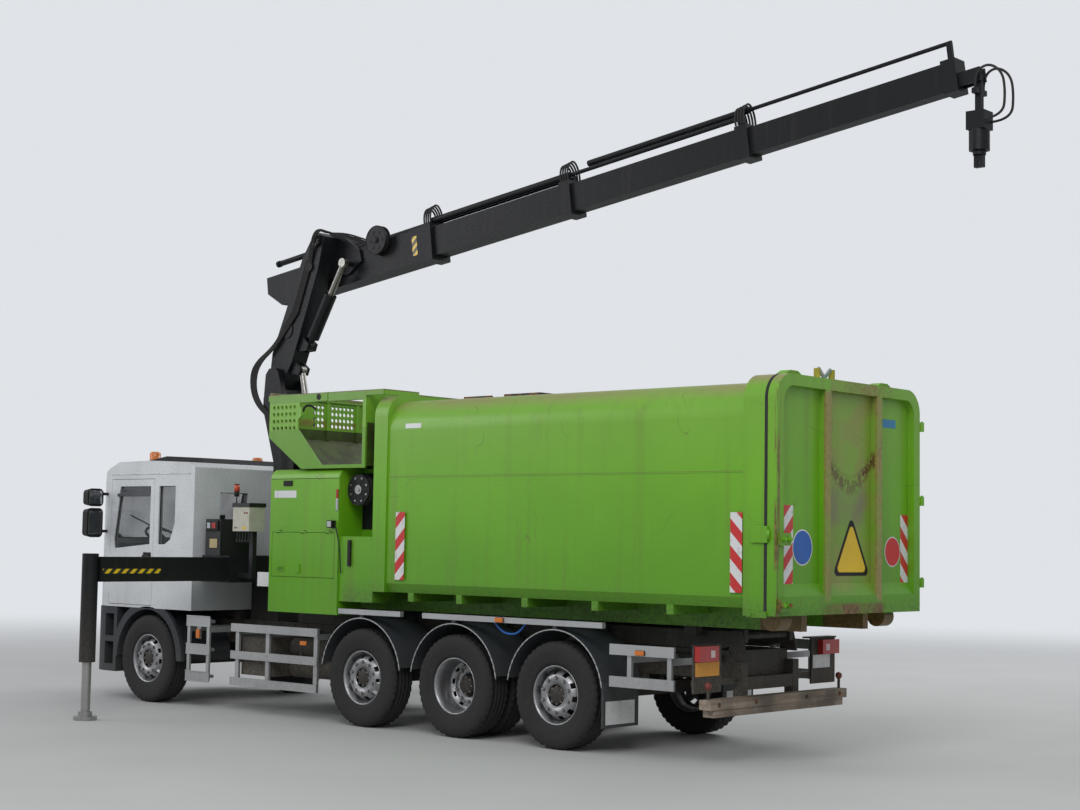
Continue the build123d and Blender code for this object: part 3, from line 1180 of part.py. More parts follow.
# Perforated windows: side, first hole x, first hole z, columns, rows
WINDOWS = (
    (1, HOPPER_FRONT_X - 110, 3190.0, 5, 4),
    (-1, HOPPER_FRONT_X - 110, 3318.0, 5, 4),
    (-1, HOPPER_FRONT_X - 560, 3318.0, 3, 4),
    (-1, HOPPER_FRONT_X - 900, 3318.0, 6, 4),
)
with BuildPart() as press_hopper:
    outline = (
        (HOPPER_FRONT_X, HOPPER_RIM),
        (HOPPER_BACK_X, HOPPER_RIM),
        (HOPPER_BACK_X, PRESS_TOP),
        (HOPPER_FRONT_X - 560, PRESS_TOP),
        (HOPPER_FRONT_X, 3120.0),
    )
    side_plate(outline, -HOPPER_HALF, HOPPER_HALF)
    hollow = (
        (HOPPER_FRONT_X - SHEET, HOPPER_RIM + 10),
        (HOPPER_BACK_X + SHEET, HOPPER_RIM + 10),
        (HOPPER_BACK_X + SHEET, PRESS_TOP + SHEET),
        (HOPPER_FRONT_X - 560 - 8, PRESS_TOP + SHEET),
        (HOPPER_FRONT_X - SHEET, 3130.0),
    )
    side_plate(hollow, -HOPPER_HALF + SHEET, HOPPER_HALF - SHEET, Mode.SUBTRACT)
    block(
        HOPPER_BACK_X + 120, HOPPER_FRONT_X - 640, -PRESS_HALF + 60, PRESS_HALF - 60, PRESS_TOP - 10,
        PRESS_TOP + 40, Mode.SUBTRACT,
    )
    block(
        HOPPER_BACK_X + 130, HOPPER_FRONT_X - 560, HOPPER_HALF - SHEET - 10, HOPPER_HALF + 10, 3130,
        HOPPER_RIM - 60, Mode.SUBTRACT,
    )
    y0, y1 = HOPPER_HALF - SHEET - 40, HOPPER_HALF - SHEET
    block(HOPPER_BACK_X + SHEET, HOPPER_FRONT_X - SHEET, y0, y1, HOPPER_RIM - 60, HOPPER_RIM)
    block(HOPPER_FRONT_X, HOPPER_FRONT_X + 25, -HOPPER_HALF, HOPPER_HALF, HOPPER_RIM - 70, HOPPER_RIM)
    for y in (-620, 0, 620):
        block(HOPPER_FRONT_X, HOPPER_FRONT_X + 25, y - 30, y + 30, 3150, HOPPER_RIM - 70)
    for side, x, z, columns, rows in WINDOWS:
        y0, y1 = sorted((side * (HOPPER_HALF - SHEET - 5), side * (HOPPER_HALF + 5)))
        with BuildSketch(Plane.XZ.offset(-y1)):
            for column in range(columns):
                for row in range(rows):
                    with Locations((x - column * HOLE_PITCH, z + row * HOLE_PITCH)):
                        RegularPolygon(HOLE_R, 8)
        extrude(amount=y1 - y0, mode=Mode.SUBTRACT)
save(press_hopper, "press_hopper")

# Machine cabinets beside the housing, left one with a top-hinged flap over its lower half
CABINET_TOP = 2900.0
CABINET_BOTTOM = 1170.0
CABINET_OUT = FRAME_HALF
FLAP_TOP = 2060.0
FLAP_BOTTOM = 1560.0
FLAP_T = 24.0
CABINET_TOP_R = 110.0
FLAP_HINGES = (CABINET_BACK_X + 160, (CABINET_BACK_X + CABINET_FRONT_X) / 2, CABINET_FRONT_X - 160)
KNUCKLE_R = 9.0


def bar_edge(y):
    """The cabinet's top outer edge at width y, of the part being built."""
    edges = machine_cabinet.edges().filter_by(Axis.X).filter_by_position(Axis.Z, PRESS_TOP - 1, PRESS_TOP + 1)
    return [edge for edge in edges if abs(edge.center().Y - y) < 1]


with BuildPart() as machine_cabinet:
    for side in (1, -1):
        y0, y1 = sorted((side * PRESS_HALF, side * CABINET_OUT))
        with BuildSketch(Plane.XY.offset(CABINET_BOTTOM)):
            with Locations(((CABINET_BACK_X + CABINET_FRONT_X) / 2, (y0 + y1) / 2)):
                Rectangle(CABINET_FRONT_X - CABINET_BACK_X, y1 - y0)
        extrude(amount=PRESS_TOP - CABINET_BOTTOM)
        edge = bar_edge(side * CABINET_OUT)
        fillet(edge, CABINET_TOP_R)
        y0, y1 = sorted((side * (PRESS_HALF), side * (CABINET_OUT - 20)))
        block(FRAME_FRONT_X, CABINET_BACK_X, y0, y1, CABINET_BOTTOM + 150, 2020)
    block(
        CABINET_BACK_X + 60, CABINET_FRONT_X - 40, CABINET_OUT - FLAP_T - DOOR_GAP, CABINET_OUT + 10,
        FLAP_BOTTOM, FLAP_TOP, Mode.SUBTRACT,
    )
    block(
        CABINET_BACK_X + 100, CABINET_FRONT_X - 80, PRESS_HALF + 40,
        CABINET_OUT - FLAP_T - DOOR_GAP + 10, FLAP_BOTTOM + 30, FLAP_TOP - 30, Mode.SUBTRACT,
    )
    for x in FLAP_HINGES:
        bar_x(CABINET_OUT, FLAP_TOP, 2 * KNUCKLE_R, x - 45, x + 45, Mode.SUBTRACT)
        bar_x(CABINET_OUT, FLAP_TOP, KNUCKLE_R, x + 1, x + 40)
        bar_x(CABINET_OUT, FLAP_TOP, KNUCKLE_R / 2, x - 42, x + 1)
        block(x + 1, x + 40, CABINET_OUT - KNUCKLE_R, CABINET_OUT, FLAP_TOP, FLAP_TOP + 2 * KNUCKLE_R + 5)
save(machine_cabinet, "machine_cabinet")
with BuildPart() as cabinet_flap:
    block(
        CABINET_BACK_X + 60 + DOOR_GAP,
        CABINET_FRONT_X - 40 - DOOR_GAP,
        CABINET_OUT - FLAP_T,
        CABINET_OUT,
        FLAP_BOTTOM + DOOR_GAP,
        FLAP_TOP - DOOR_GAP,
    )
    for x in FLAP_HINGES:
        bar_x(CABINET_OUT, FLAP_TOP, 2 * KNUCKLE_R, x - 45, x + 45, Mode.SUBTRACT)
        bar_x(CABINET_OUT, FLAP_TOP, KNUCKLE_R, x - 40, x - 1)
        block(x - 40, x - 1, CABINET_OUT - KNUCKLE_R, CABINET_OUT, FLAP_TOP - 2 * KNUCKLE_R - 5, FLAP_TOP)
        bar_x(CABINET_OUT, FLAP_TOP, KNUCKLE_R / 2 + PIN_GAP, x - 45, x + 2, Mode.SUBTRACT)
    block(DRIVE_X + 2640, DRIVE_X + 2760, CABINET_OUT, CABINET_OUT + 8, 1620, 1680)
    block(DRIVE_X + 2370, DRIVE_X + 2430, CABINET_OUT, CABINET_OUT + 14, 1610, 1710)
save(cabinet_flap, "cabinet_flap")

# Black fittings of the machine end: cable reel on its arm, vents, flap latch, lever and lamp
REEL_X = DRIVE_X + 1560.0
REEL_Z = 2527.0
with BuildPart() as press_fittings:
    bar_y(REEL_X, REEL_Z, 40, PRESS_HALF, 1040)
    bar_y(REEL_X, REEL_Z, 170, 1040, 1055)
    bar_y(REEL_X, REEL_Z, 120, 1055, 1135)
    bar_y(REEL_X, REEL_Z, 170, 1135, 1150)
    block(DRIVE_X + 1560, DRIVE_X + 1600, CABINET_OUT - 20, CABINET_OUT + 5, 1700, 1980)
    block(DRIVE_X + 2525, DRIVE_X + 2675, CABINET_OUT, CABINET_OUT + 8, 2570, 2630)
    block(DRIVE_X + 1800, DRIVE_X + 1880, CABINET_OUT, CABINET_OUT + 60, 2110, 2190)
save(press_fittings, "press_fittings")

# Tilt frame of the hook lift: two beams on the rails, hook arm at the front, rests for the floor beams
TILT_SIDE = (
    (TIP_X - 60, TIP_Z - 60),
    (TIP_X + 250, TILT_BOTTOM),
    (DRIVE_X + 3330, TILT_BOTTOM),
    (DRIVE_X + 3330, TILT_TOP),
    (TIP_X + 100, TILT_TOP),
    (TIP_X + 40, TIP_Z + 60),
    (TIP_X - 60, TIP_Z + 60),
)
with BuildPart() as hook_frame:
    for side in (1, -1):
        y0, y1 = sorted((side * TILT_IN_Y, side * TILT_OUT_Y))
        side_plate(TILT_SIDE, y0, y1)
        y0, y1 = sorted((side * (TILT_OUT_Y - 10), side * (SKID_Y + 55)))
        for x in (-2500, -600, 500, 2100):
            block(DRIVE_X + x - 70, DRIVE_X + x + 70, y0, y1, TILT_TOP - 40, TILT_TOP)
            block(
                DRIVE_X + x - 70, DRIVE_X + x + 70, side * (SKID_Y - 45), side * (SKID_Y + 55),
                TILT_TOP, BODY_BOTTOM - 220,
            )
    for x in (-2000, 0, 2000):
        block(DRIVE_X + x - 60, DRIVE_X + x + 60, -TILT_IN_Y, TILT_IN_Y, TILT_BOTTOM + 20, TILT_TOP - 20)
    block(DRIVE_X + 3130, DRIVE_X + 3330, -TILT_IN_Y, TILT_IN_Y, TILT_BOTTOM, TILT_TOP)
    block(DRIVE_X + 3150, DRIVE_X + 3310, -90, 90, TILT_TOP - 10, 2560)
    block(DRIVE_X + 2960, DRIVE_X + 3310, -45, 45, 2480, 2620)
    bar_y(TIP_X, TIP_Z, TIP_SHAFT_R + PIN_GAP, -TILT_OUT_Y - 5, TILT_OUT_Y + 5, Mode.SUBTRACT)
save(hook_frame, "hook_frame")

# Roof fittings of the container: rail, hatch, lifting lugs and the lever bracket
LUG_PLACES = (760.0, -820.0)
with BuildPart() as roof_fittings:
    block(DRIVE_X + 200, DRIVE_X + 600, 500, 530, BODY_TOP + 35, BODY_TOP + 60)
    for x in (200, 570):
        block(DRIVE_X + x, DRIVE_X + x + 30, 500, 530, BODY_TOP, BODY_TOP + 40)
    block(DRIVE_X - 700, DRIVE_X - 200, 300, 760, BODY_TOP, BODY_TOP + 40)
    for y in LUG_PLACES:
        with BuildSketch(Plane.YZ.offset(DOOR_SEAM_X + 30)):
            with BuildLine():
                Polyline(
                    (y - 170, FRAME_TOP), (y - 60, FRAME_TOP + 55), (y + 60, FRAME_TOP + 55),
                    (y + 170, FRAME_TOP), close=True,
                )
            make_face()
        extrude(amount=110)
    for y in (60, 310):
        block(DOOR_SEAM_X + 40, DOOR_SEAM_X + 100, y, y + 20, FRAME_TOP, FRAME_TOP + 115)
    with BuildSketch(Plane.YZ.offset(DOOR_SEAM_X + 60)):
        with BuildLine():
            Polyline(
                (75, FRAME_TOP + 110), (195, FRAME_TOP + 10), (315, FRAME_TOP + 110),
                (290, FRAME_TOP + 130), (195, FRAME_TOP + 50), (100, FRAME_TOP + 130), close=True,
            )
        make_face()
    extrude(amount=20)
save(roof_fittings, "roof_fittings")

# Crane controls and the oil tank beside the column
with BuildPart() as crane_controls:
    block(DRIVE_X + 3350, DRIVE_X + 3640, 950, 1180, 2060, 2340)
    block(DRIVE_X + 3340, DRIVE_X + 3650, 940, 1190, 2340, 2385)
    for x in (3390, 3440, 3490, 3540, 3590):
        bar_z(DRIVE_X + x, 1150, 6, 1960, 2060)
        bar_z(DRIVE_X + x, 1150, 13, 1935, 1965)
    block(DRIVE_X + 3420, DRIVE_X + 3480, 1000, 1060, BEAM_Z - 100, 2060)
    block(DRIVE_X + 3420, LEFT_BEAM_X - 130, 1000, 1060, BEAM_Z - 100, BEAM_Z - 40)
    block(DRIVE_X + 3900, DRIVE_X + 4170, 700, 1150, BEAM_Z + BEAM_HIGH / 2 + 20, 2200)
save(crane_controls, "crane_controls")

cylinder_pair("lift", LIFT_BASE, LIFT_EYE, 82.0, 40.0, 0.68, 50.0)
cylinder_pair("fold", FOLD_BASE, FOLD_EYE, 78.0, 40.0, 0.62, 110.0)
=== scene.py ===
# %% [markdown]
# # A refuse lorry with a loader crane, dressed in Blender
# The shapes with a real size come from CAD: cab, chassis, crane, container and wheels, each in the place
# where the real piece sits. This script loads them as a fixed frame, adds what a maker would call finish
# (paint, rubber, glass, lamps, hoses, bolts, tread), and lights the whole for one photograph.

from math import atan2, cos, pi, radians, sin

import bmesh
import bpy
from mathutils import Matrix, Vector
from mathutils.bvhtree import BVHTree


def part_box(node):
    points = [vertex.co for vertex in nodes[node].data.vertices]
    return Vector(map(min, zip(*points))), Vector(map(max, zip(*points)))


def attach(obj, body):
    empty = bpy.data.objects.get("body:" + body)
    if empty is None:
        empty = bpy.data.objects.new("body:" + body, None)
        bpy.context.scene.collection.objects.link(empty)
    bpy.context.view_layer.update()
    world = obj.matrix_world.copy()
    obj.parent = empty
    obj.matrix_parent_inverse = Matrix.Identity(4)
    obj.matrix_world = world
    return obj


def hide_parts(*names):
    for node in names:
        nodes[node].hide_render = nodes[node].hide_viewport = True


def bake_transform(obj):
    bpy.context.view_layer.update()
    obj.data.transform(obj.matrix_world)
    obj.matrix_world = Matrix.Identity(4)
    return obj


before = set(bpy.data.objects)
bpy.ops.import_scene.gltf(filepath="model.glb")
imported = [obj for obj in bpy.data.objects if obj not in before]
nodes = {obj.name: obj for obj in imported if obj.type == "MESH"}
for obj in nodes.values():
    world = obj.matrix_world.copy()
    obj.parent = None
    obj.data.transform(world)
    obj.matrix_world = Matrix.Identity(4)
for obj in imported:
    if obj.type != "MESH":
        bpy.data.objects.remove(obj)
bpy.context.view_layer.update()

# %% [markdown]
# The lorry's own datum is the ground point under the drive axle. The frame's origin is the middle of the
# whole box, boom included, so every place below is given from the drive axle and moved once.

# %% Places that everything else is measured from
low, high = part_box("wheel_drive_left")
DRIVE_X = (low.x + high.x) / 2
WHEEL_R = (high.z - low.z) / 2
AXLES = {"front": 5.13, "pusher": 1.37, "drive": 0.0, "tag": -1.36}
SIDES = ((1, "left"), (-1, "right"))


def stand(name, data):
    """A new object in the scene that shows a mesh, curve, lamp or camera."""
    made = bpy.data.objects.new(name, data)
    bpy.context.scene.collection.objects.link(made)
    return made


print("drive axle at", round(DRIVE_X, 4), "wheel radius", round(WHEEL_R, 3))

# %% [markdown]
# The photograph was taken from behind on the left, from about two metres above the ground, with a long
# lens. The camera's place and turn were worked out from points whose real distance is known: the axles,
# the container's corners and the outrigger's foot.

# %% Camera
CAMERA_PLACE = Vector((-12.847 + DRIVE_X, 14.523, 2.012))
YAW, PITCH, ROLL = radians(-48.57), radians(4.29), radians(0.93)
LENS_MM = 60.09
forward = Vector((cos(YAW) * cos(PITCH), sin(YAW) * cos(PITCH), sin(PITCH)))
level_right = Vector((sin(YAW), -cos(YAW), 0))
level_up = level_right.cross(forward)
right = level_right * cos(ROLL) + level_up * sin(ROLL)
up = level_up * cos(ROLL) - level_right * sin(ROLL)
camera = stand("camera", bpy.data.cameras.new("camera"))
camera.data.lens = LENS_MM
camera.data.sensor_width = 36
camera.data.sensor_fit = "HORIZONTAL"
camera.data.clip_end = 200
camera.matrix_world = Matrix((
    (right.x, up.x, -forward.x, CAMERA_PLACE.x),
    (right.y, up.y, -forward.y, CAMERA_PLACE.y),
    (right.z, up.z, -forward.z, CAMERA_PLACE.z),
    (0, 0, 0, 1),
))
bpy.context.scene.camera = camera
print("camera at", [round(v, 2) for v in CAMERA_PLACE])

# %% [markdown]
# Finishes are node materials. Written out node by node they are long and hard to read, so one small class
# stands for a socket: adding, multiplying or comparing two of them adds the Math node that does it, and
# `Finish.node` adds any other node from its type, its settings and the values of its sockets.

# %% Shader maths as Python expressions
def maths(operation, turned=False):
    """A method that adds the Math node of one operation; turned puts the other value first."""
    def method(self, *others):
        node = self.tree.nodes.new("ShaderNodeMath")
        node.operation = operation
        for place, value in enumerate((*others, self) if turned else (self, *others)):
            put(self.tree, node.inputs[place], value)
        return Value(self.tree, node.outputs[0])
    return method


class Value:
    """A number that changes over a surface: the output socket of a node."""

    def __init__(self, tree, socket):
        self.tree, self.socket = tree, socket

    __add__, __radd__ = maths("ADD"), maths("ADD", turned=True)
    __sub__, __rsub__ = maths("SUBTRACT"), maths("SUBTRACT", turned=True)
    __mul__, __rmul__ = maths("MULTIPLY"), maths("MULTIPLY", turned=True)
    __truediv__, __gt__, __lt__ = maths("DIVIDE"), maths("GREATER_THAN"), maths("LESS_THAN")
    fraction, size, root = maths("FRACT"), maths("ABSOLUTE"), maths("SQRT")

    def between(self, start, end):
        """0 below start, 1 above end, and a smooth rise between them."""
        node = self.tree.nodes.new("ShaderNodeMapRange")
        node.interpolation_type = "SMOOTHSTEP"
        for name, value in (("Value", self), ("From Min", start), ("From Max", end)):
            put(self.tree, node.inputs[name], value)
        return Value(self.tree, node.outputs[0])


def put(tree, socket, value):
    """Link a Value into a socket, or set the socket to a plain number or colour."""
    if isinstance(value, Value):
        tree.links.new(value.socket, socket)
    elif isinstance(value, (tuple, list)) and len(value) == 3 and len(socket.default_value) == 4:
        socket.default_value = (*value, 1)
    else:
        socket.default_value = value


class Finish:
    """One material: its shader and the means to add nodes to it."""

    def __init__(self, name, **fixed):
        self.material = bpy.data.materials.new(name)
        self.material.use_nodes = True
        self.tree = self.material.node_tree
        self.shader = self.tree.nodes["Principled BSDF"]
        self.set(**fixed)
        self.place = self.node("ShaderNodeTexCoord").socket("Object")
        split = self.node("ShaderNodeSeparateXYZ", Vector=self.place)
        self.x, self.y, self.z = (split.socket(axis) for axis in "XYZ")

    def set(self, **values):
        """Values of the shader's own sockets, with spaces written as underscores."""
        for name, value in values.items():
            put(self.tree, self.shader.inputs[name.replace("_", " ")], value)

    def node(self, kind, settings=None, places=(), **inputs):
        node = self.tree.nodes.new(kind)
        for name, value in (settings or {}).items():
            setattr(node, name, value)
        for number, value in enumerate(places):
            put(self.tree, node.inputs[number], value)
        for name, value in inputs.items():
            put(self.tree, node.inputs[name.replace("_", " ")], value)
        return Output(self.tree, node)

    def noise(self, scale, detail=3.0, place=None):
        """Cloudy noise from about 0.3 to 0.7, at so many waves a metre."""
        where = self.place if place is None else place
        node = self.node("ShaderNodeTexNoise", Vector=where, Scale=scale, Detail=detail)
        return node.socket("Factor", "Fac")

    def stretched(self, x, y, z):
        """The place on the surface, drawn out along the axes with small numbers."""
        scaled = self.node("ShaderNodeVectorMath", {"operation": "MULTIPLY"}, (self.place, (x, y, z)))
        return scaled.socket("Vector")

    def mix(self, amount, first, second):
        """First colour where amount is 0, second where it is 1."""
        node = self.tree.nodes.new("ShaderNodeMix")
        node.data_type = "RGBA"
        put(self.tree, node.inputs[0], amount)
        put(self.tree, node.inputs[6], first)
        put(self.tree, node.inputs[7], second)
        return Value(self.tree, node.outputs[2])

    def layers(self, colour, *more):
        """Colours laid over one another, each as (amount, colour)."""
        for amount, over in more:
            colour = self.mix(amount, colour, over)
        return colour

    def bump(self, height, depth):
        """Relief of so many metres where height goes from 0 to 1."""
        relief = self.node("ShaderNodeBump", Height=height, Distance=depth, Strength=0.8)
        self.set(Normal=relief.socket("Normal"))


class Output:
    """A node that was added, with its output sockets by name."""

    def __init__(self, tree, node):
        self.tree, self.made = tree, node

    def socket(self, *names):
        for name in names:
            if name in self.made.outputs:
                return Value(self.tree, self.made.outputs[name])
        raise KeyError(names)


print("shader helper ready")

# %% [markdown]
# Painted steel on a lorry that works outdoors is never one colour. The paint varies a little from panel
# to panel, rain draws dirt down it in streaks, and dust from the road lies thickest near the ground.
# All three are noise at different stretches, weighed by height.

# %% Painted steel
DUST = (0.16, 0.14, 0.11)


def painted(name, colour, roughness=0.35, dust=0.5, streaks=0.3, dust_top=1.6, **fixed):
    """Paint with clouded colour, rain streaks, and dust that thins out up to dust_top metres."""
    finish = Finish(name, Coat_Roughness=0.08, **fixed)
    cloud = finish.noise(1.7, 5).between(0.3, 0.7)
    fine = finish.noise(38, 4).between(0.35, 0.75)
    rain = finish.noise(1.0, 5, finish.stretched(9, 9, 0.55)).between(0.5, 0.72)
    low = 1 - finish.z.between(0.25, dust_top)
    dirt = (low * dust * (0.45 + 0.55 * fine)) + (rain * streaks * (0.35 + 0.65 * cloud))
    dark = tuple(0.86 * part for part in colour)
    coloured = finish.mix(cloud, colour, dark)
    finish.set(Base_Color=finish.mix(dirt, coloured, DUST))
    finish.set(Roughness=roughness + 0.3 * dirt + 0.08 * fine)
    finish.bump(fine, 0.0006)
    return finish.material


LIME = (0.15, 0.415, 0.008)
CAB_WHITE = (0.66, 0.68, 0.7)
DULL = {"Specular_IOR_Level": 0.25}
paint_cab = painted("cab_white_paint", CAB_WHITE, 0.25, 0.45, 0.1, 1.9, Coat_Weight=0.4)
paint_black = painted("crane_black_paint", (0.009, 0.0095, 0.012), 0.42, 0.4, 0.06, 1.8, **DULL)
paint_chassis = painted("chassis_black_paint", (0.018, 0.018, 0.02), 0.5, 0.75, 0.2, 1.7, **DULL)
plastic_grey = painted("grey_plastic", (0.035, 0.037, 0.04), 0.5, 0.35, 0.05, 1.4)
plastic_black = painted("black_plastic", (0.012, 0.012, 0.013), 0.45, 0.2, 0.05, 1.4, **DULL)
plastic_slate = painted("slate_plastic", (0.032, 0.038, 0.047), 0.5, 0.3, 0.05, 1.4, **DULL)
aluminium = painted("weathered_aluminium", (0.5, 0.51, 0.52), 0.4, 0.35, 0.12, 1.4, Metallic=0.7)
steel_pale = painted("pale_steel", (0.42, 0.42, 0.41), 0.35, 0.2, 0.1, 1.4, Metallic=0.8)
print("painted finishes ready")

# %% [markdown]
# The green body is the dirtiest piece and each dirt has its own place. Yellow-brown dust lies where the
# surface looks up, moss-dark grime gathers at the lower edge and on the underframe, and long scratches
# show where containers rub. A mask is a number from 0 to 1 made from the place on the surface, and the
# colours are laid one over the other with those masks.

# %% Green paint with dust, grime and scratches
RUST_DARK, RUST_PALE, TAN = (0.09, 0.032, 0.014), (0.24, 0.1, 0.04), (0.3, 0.24, 0.07)


def within(value, start, end, soft=0.03):
    """1 between start and end, with soft borders."""
    return value.between(start - soft, start + soft) * (1 - value.between(end - soft, end + soft))


def lime(name, extra=None):
    """Green paint; extra(finish, colour) may lay more colours over it."""
    finish = Finish(name, Coat_Weight=0.15, Coat_Roughness=0.15)
    cloud = finish.noise(1.1, 5).between(0.3, 0.7)
    fine = finish.noise(34, 4).between(0.35, 0.75)
    rain = finish.noise(1.0, 5, finish.stretched(11, 11, 0.5)).between(0.48, 0.72)
    up = finish.node("ShaderNodeTexCoord").socket("Normal")
    skyward = finish.node("ShaderNodeSeparateXYZ", Vector=up).socket("Z").between(0.45, 0.95)
    grime = (1 - finish.z.between(1.3, 1.62)) * (0.35 + 0.65 * fine) * (finish.x < DRIVE_X + 1.7)
    sunk = finish.noise(0.8, 4, finish.stretched(1, 1, 0.4)).between(0.4, 0.65)
    scratch = finish.node(
        "ShaderNodeTexWave", {"wave_type": "BANDS", "bands_direction": "DIAGONAL"}, Vector=finish.place,
        Scale=0.55, Distortion=22.0, Detail=3.0, Detail_Scale=1.4,
    ).socket("Factor", "Fac")
    scraped = scratch.between(0.9975, 0.9998) * finish.noise(1.6, 2).between(0.56, 0.63)
    seam = within(finish.z, 2.656, 2.664, 0.004) * (finish.x < DRIVE_X + 1.0) * (finish.x > DRIVE_X - 3.55)
    roller = (finish.z < 1.362) * (finish.x < DRIVE_X - 3.3)
    colour = finish.layers(
        LIME,
        (cloud, (0.13, 0.37, 0.006)),
        # painted shade: the green darkens towards the bottom of the side, where the real wall leans inwards
        # and faces down
        (0.55 * (1 - finish.z.between(1.5, 2.75)), (0.07, 0.25, 0.003)),
        (finish.z.between(2.4, 3.3) * 0.45, (0.2, 0.4, 0.045)),
        (rain * (0.14 + 0.2 * sunk), (0.13, 0.17, 0.03)),
        (skyward * (0.35 + 0.5 * cloud) * finish.z.between(2.6, 3.3), (0.3, 0.25, 0.11)),
        (grime * 0.75, (0.05, 0.085, 0.02)),
        (scraped * finish.z.between(1.9, 2.1) * 0.45, (0.1, 0.06, 0.03)),
        (seam * 0.55, (0.12, 0.1, 0.03)),
        (roller * 0.85, finish.mix(fine, RUST_DARK, RUST_PALE)),
    )
    if extra:
        colour = extra(finish, colour)
    finish.set(Base_Color=colour, Roughness=0.36 + 0.25 * grime + 0.12 * fine + 0.2 * skyward)
    finish.bump(fine, 0.0005)
    return finish.material


def door_wear(finish, colour):
    """The rear door: tan ribs, a yellowed middle panel, a rusty scar across it, rust along its edges."""
    y, z = finish.y, finish.z
    fine = finish.noise(26, 5).between(0.35, 0.7)
    broad = finish.noise(3.2, 5).between(0.38, 0.62)
    half_worn = 0.6 + 0.4 * broad
    middle = within(y, -0.45, 0.37, 0.01) * finish.z.between(1.5, 1.7)
    ribs = (within(y, 0.36, 0.46, 0.006) + within(y, -0.54, -0.44, 0.006)) * within(z, 1.5, 3.42)
    outer = finish.x < DRIVE_X - 3.9
    smear = within(z, 2.2, 2.55, 0.09) * within(y, -0.35, 0.33, 0.09)
    sag = 2.56 + (y + 0.06) * (y + 0.06) * 1.7
    scar = within(z, sag - 0.06, sag + 0.08, 0.05) * within(y, -0.56, 0.44, 0.02)
    run_down = finish.noise(1.0, 5, finish.stretched(20, 20, 1.5)).between(0.42, 0.55)
    edge = within(y, 1.2, 1.26, 0.01) * outer * run_down
    strip = within(z, 1.37, 1.475, 0.02) * within(y, -0.56, 0.46, 0.04)
    lintel = within(z, 3.42, 3.56, 0.02) * within(y, -0.75, 0.12, 0.1) * fine
    return finish.layers(
        colour,
        (middle * (0.35 + 0.45 * broad), (0.25, 0.26, 0.06)),
        (smear * (0.3 + 0.4 * broad), (0.16, 0.15, 0.1)),
        (scar * fine.between(0.1, 0.35) * half_worn, RUST_DARK),
        (ribs * outer * (0.5 + 0.4 * broad), finish.mix(fine, TAN, (0.25, 0.17, 0.06))),
        (edge * 0.8 + strip * (0.45 + 0.45 * broad) + lintel * 0.6, finish.mix(fine, RUST_DARK, RUST_PALE)),
    )


def hopper_wear_and_shade(finish, colour):
    """The hopper: painted shade and dirt on the inner slopes, rust under its windows, painted shade on the
    rim and a worn edge.
    """
    x, y, z = finish.x - DRIVE_X, finish.y, finish.z
    broad = finish.noise(5, 5).between(0.35, 0.65)
    inner = (z < 3.25) * (y.size() < 1.222) * (x < 2.945)
    under = within(z, 3.27, 3.36, 0.02) * within(x, 2.93, 2.945, 0.002) * broad
    return finish.layers(
        colour,
        # painted shade and dirt: the inside of the hopper is darkened to dark brown
        (inner * (0.78 + 0.17 * broad), (0.03, 0.026, 0.012)),
        ((z < 3.2) * (y > 1.22) * 0.4, (0.06, 0.17, 0.006)),
        # painted shade: the near side's rim band is darker where it faces down
        ((z > 3.5) * (y > 1.22) * 0.4, (0.07, 0.16, 0.012)),
        (under * 0.7, RUST_PALE),
        ((z > 3.588) * (0.4 + 0.5 * broad), (0.16, 0.12, 0.06)),
    )


paint_lime = lime("lime_paint")
paint_hopper = lime("hopper_paint", hopper_wear_and_shade)
paint_door = lime("rear_door_paint", door_wear)
print("green paints ready")

# %% [markdown]
# Steel that has lost its paint rusts in blotches: dark brown where it is old, orange at the edges.

# %% Rusty steel, chromed rods, rubber and glass
def rusty(name, base, amount):
    """Steel with rust blotches, from few at amount 0 to many at 1."""
    finish = Finish(name)
    blotch = finish.noise(7, 6).between(0.66 - 0.3 * amount, 0.76 - 0.3 * amount)
    grain = finish.noise(55, 4).between(0.3, 0.7)
    rust = finish.mix(grain, (0.11, 0.035, 0.012), (0.26, 0.1, 0.035))
    finish.set(Base_Color=finish.mix(blotch, base, rust), Roughness=0.45 + 0.4 * blotch)
    finish.bump(blotch * grain, 0.002)
    return finish.material


def smooth_metal(name, colour, roughness):
    """Bare metal with faint wear in its gloss."""
    finish = Finish(name, Metallic=1.0)
    wear = finish.noise(60, 4).between(0.35, 0.7)
    finish.set(Base_Color=finish.mix(wear, colour, tuple(0.8 * part for part in colour)))
    finish.set(Roughness=roughness + 0.12 * wear)
    return finish.material


def rubbery(name, colour, dust):
    """Rubber, matt, with dust in its low places."""
    finish = Finish(name)
    grain = finish.noise(45, 5).between(0.35, 0.75)
    finish.set(Base_Color=finish.mix(grain * dust, colour, (0.11, 0.1, 0.085)), Roughness=0.75 + 0.15 * grain)
    finish.bump(grain, 0.0008)
    return finish.material


def lens(name, colour):
    """A moulded lamp lens: ribbed and glossy plastic."""
    finish = Finish(name, Coat_Weight=0.6)
    ribs = ((finish.x + finish.y) * 90).fraction().between(0.2, 0.6)
    # painted shade: the ribs' grooves are drawn in a darker colour of the lens
    shade = tuple(0.6 * part for part in colour)
    finish.set(Base_Color=finish.mix(ribs, colour, shade), Roughness=0.2 + 0.1 * ribs)
    finish.bump(ribs, 0.0012)
    return finish.material


rusty_steel = rusty("rusty_steel", (0.05, 0.045, 0.04), 0.8)
rusty_lime = rusty("rusty_lime_paint", LIME, 0.35)

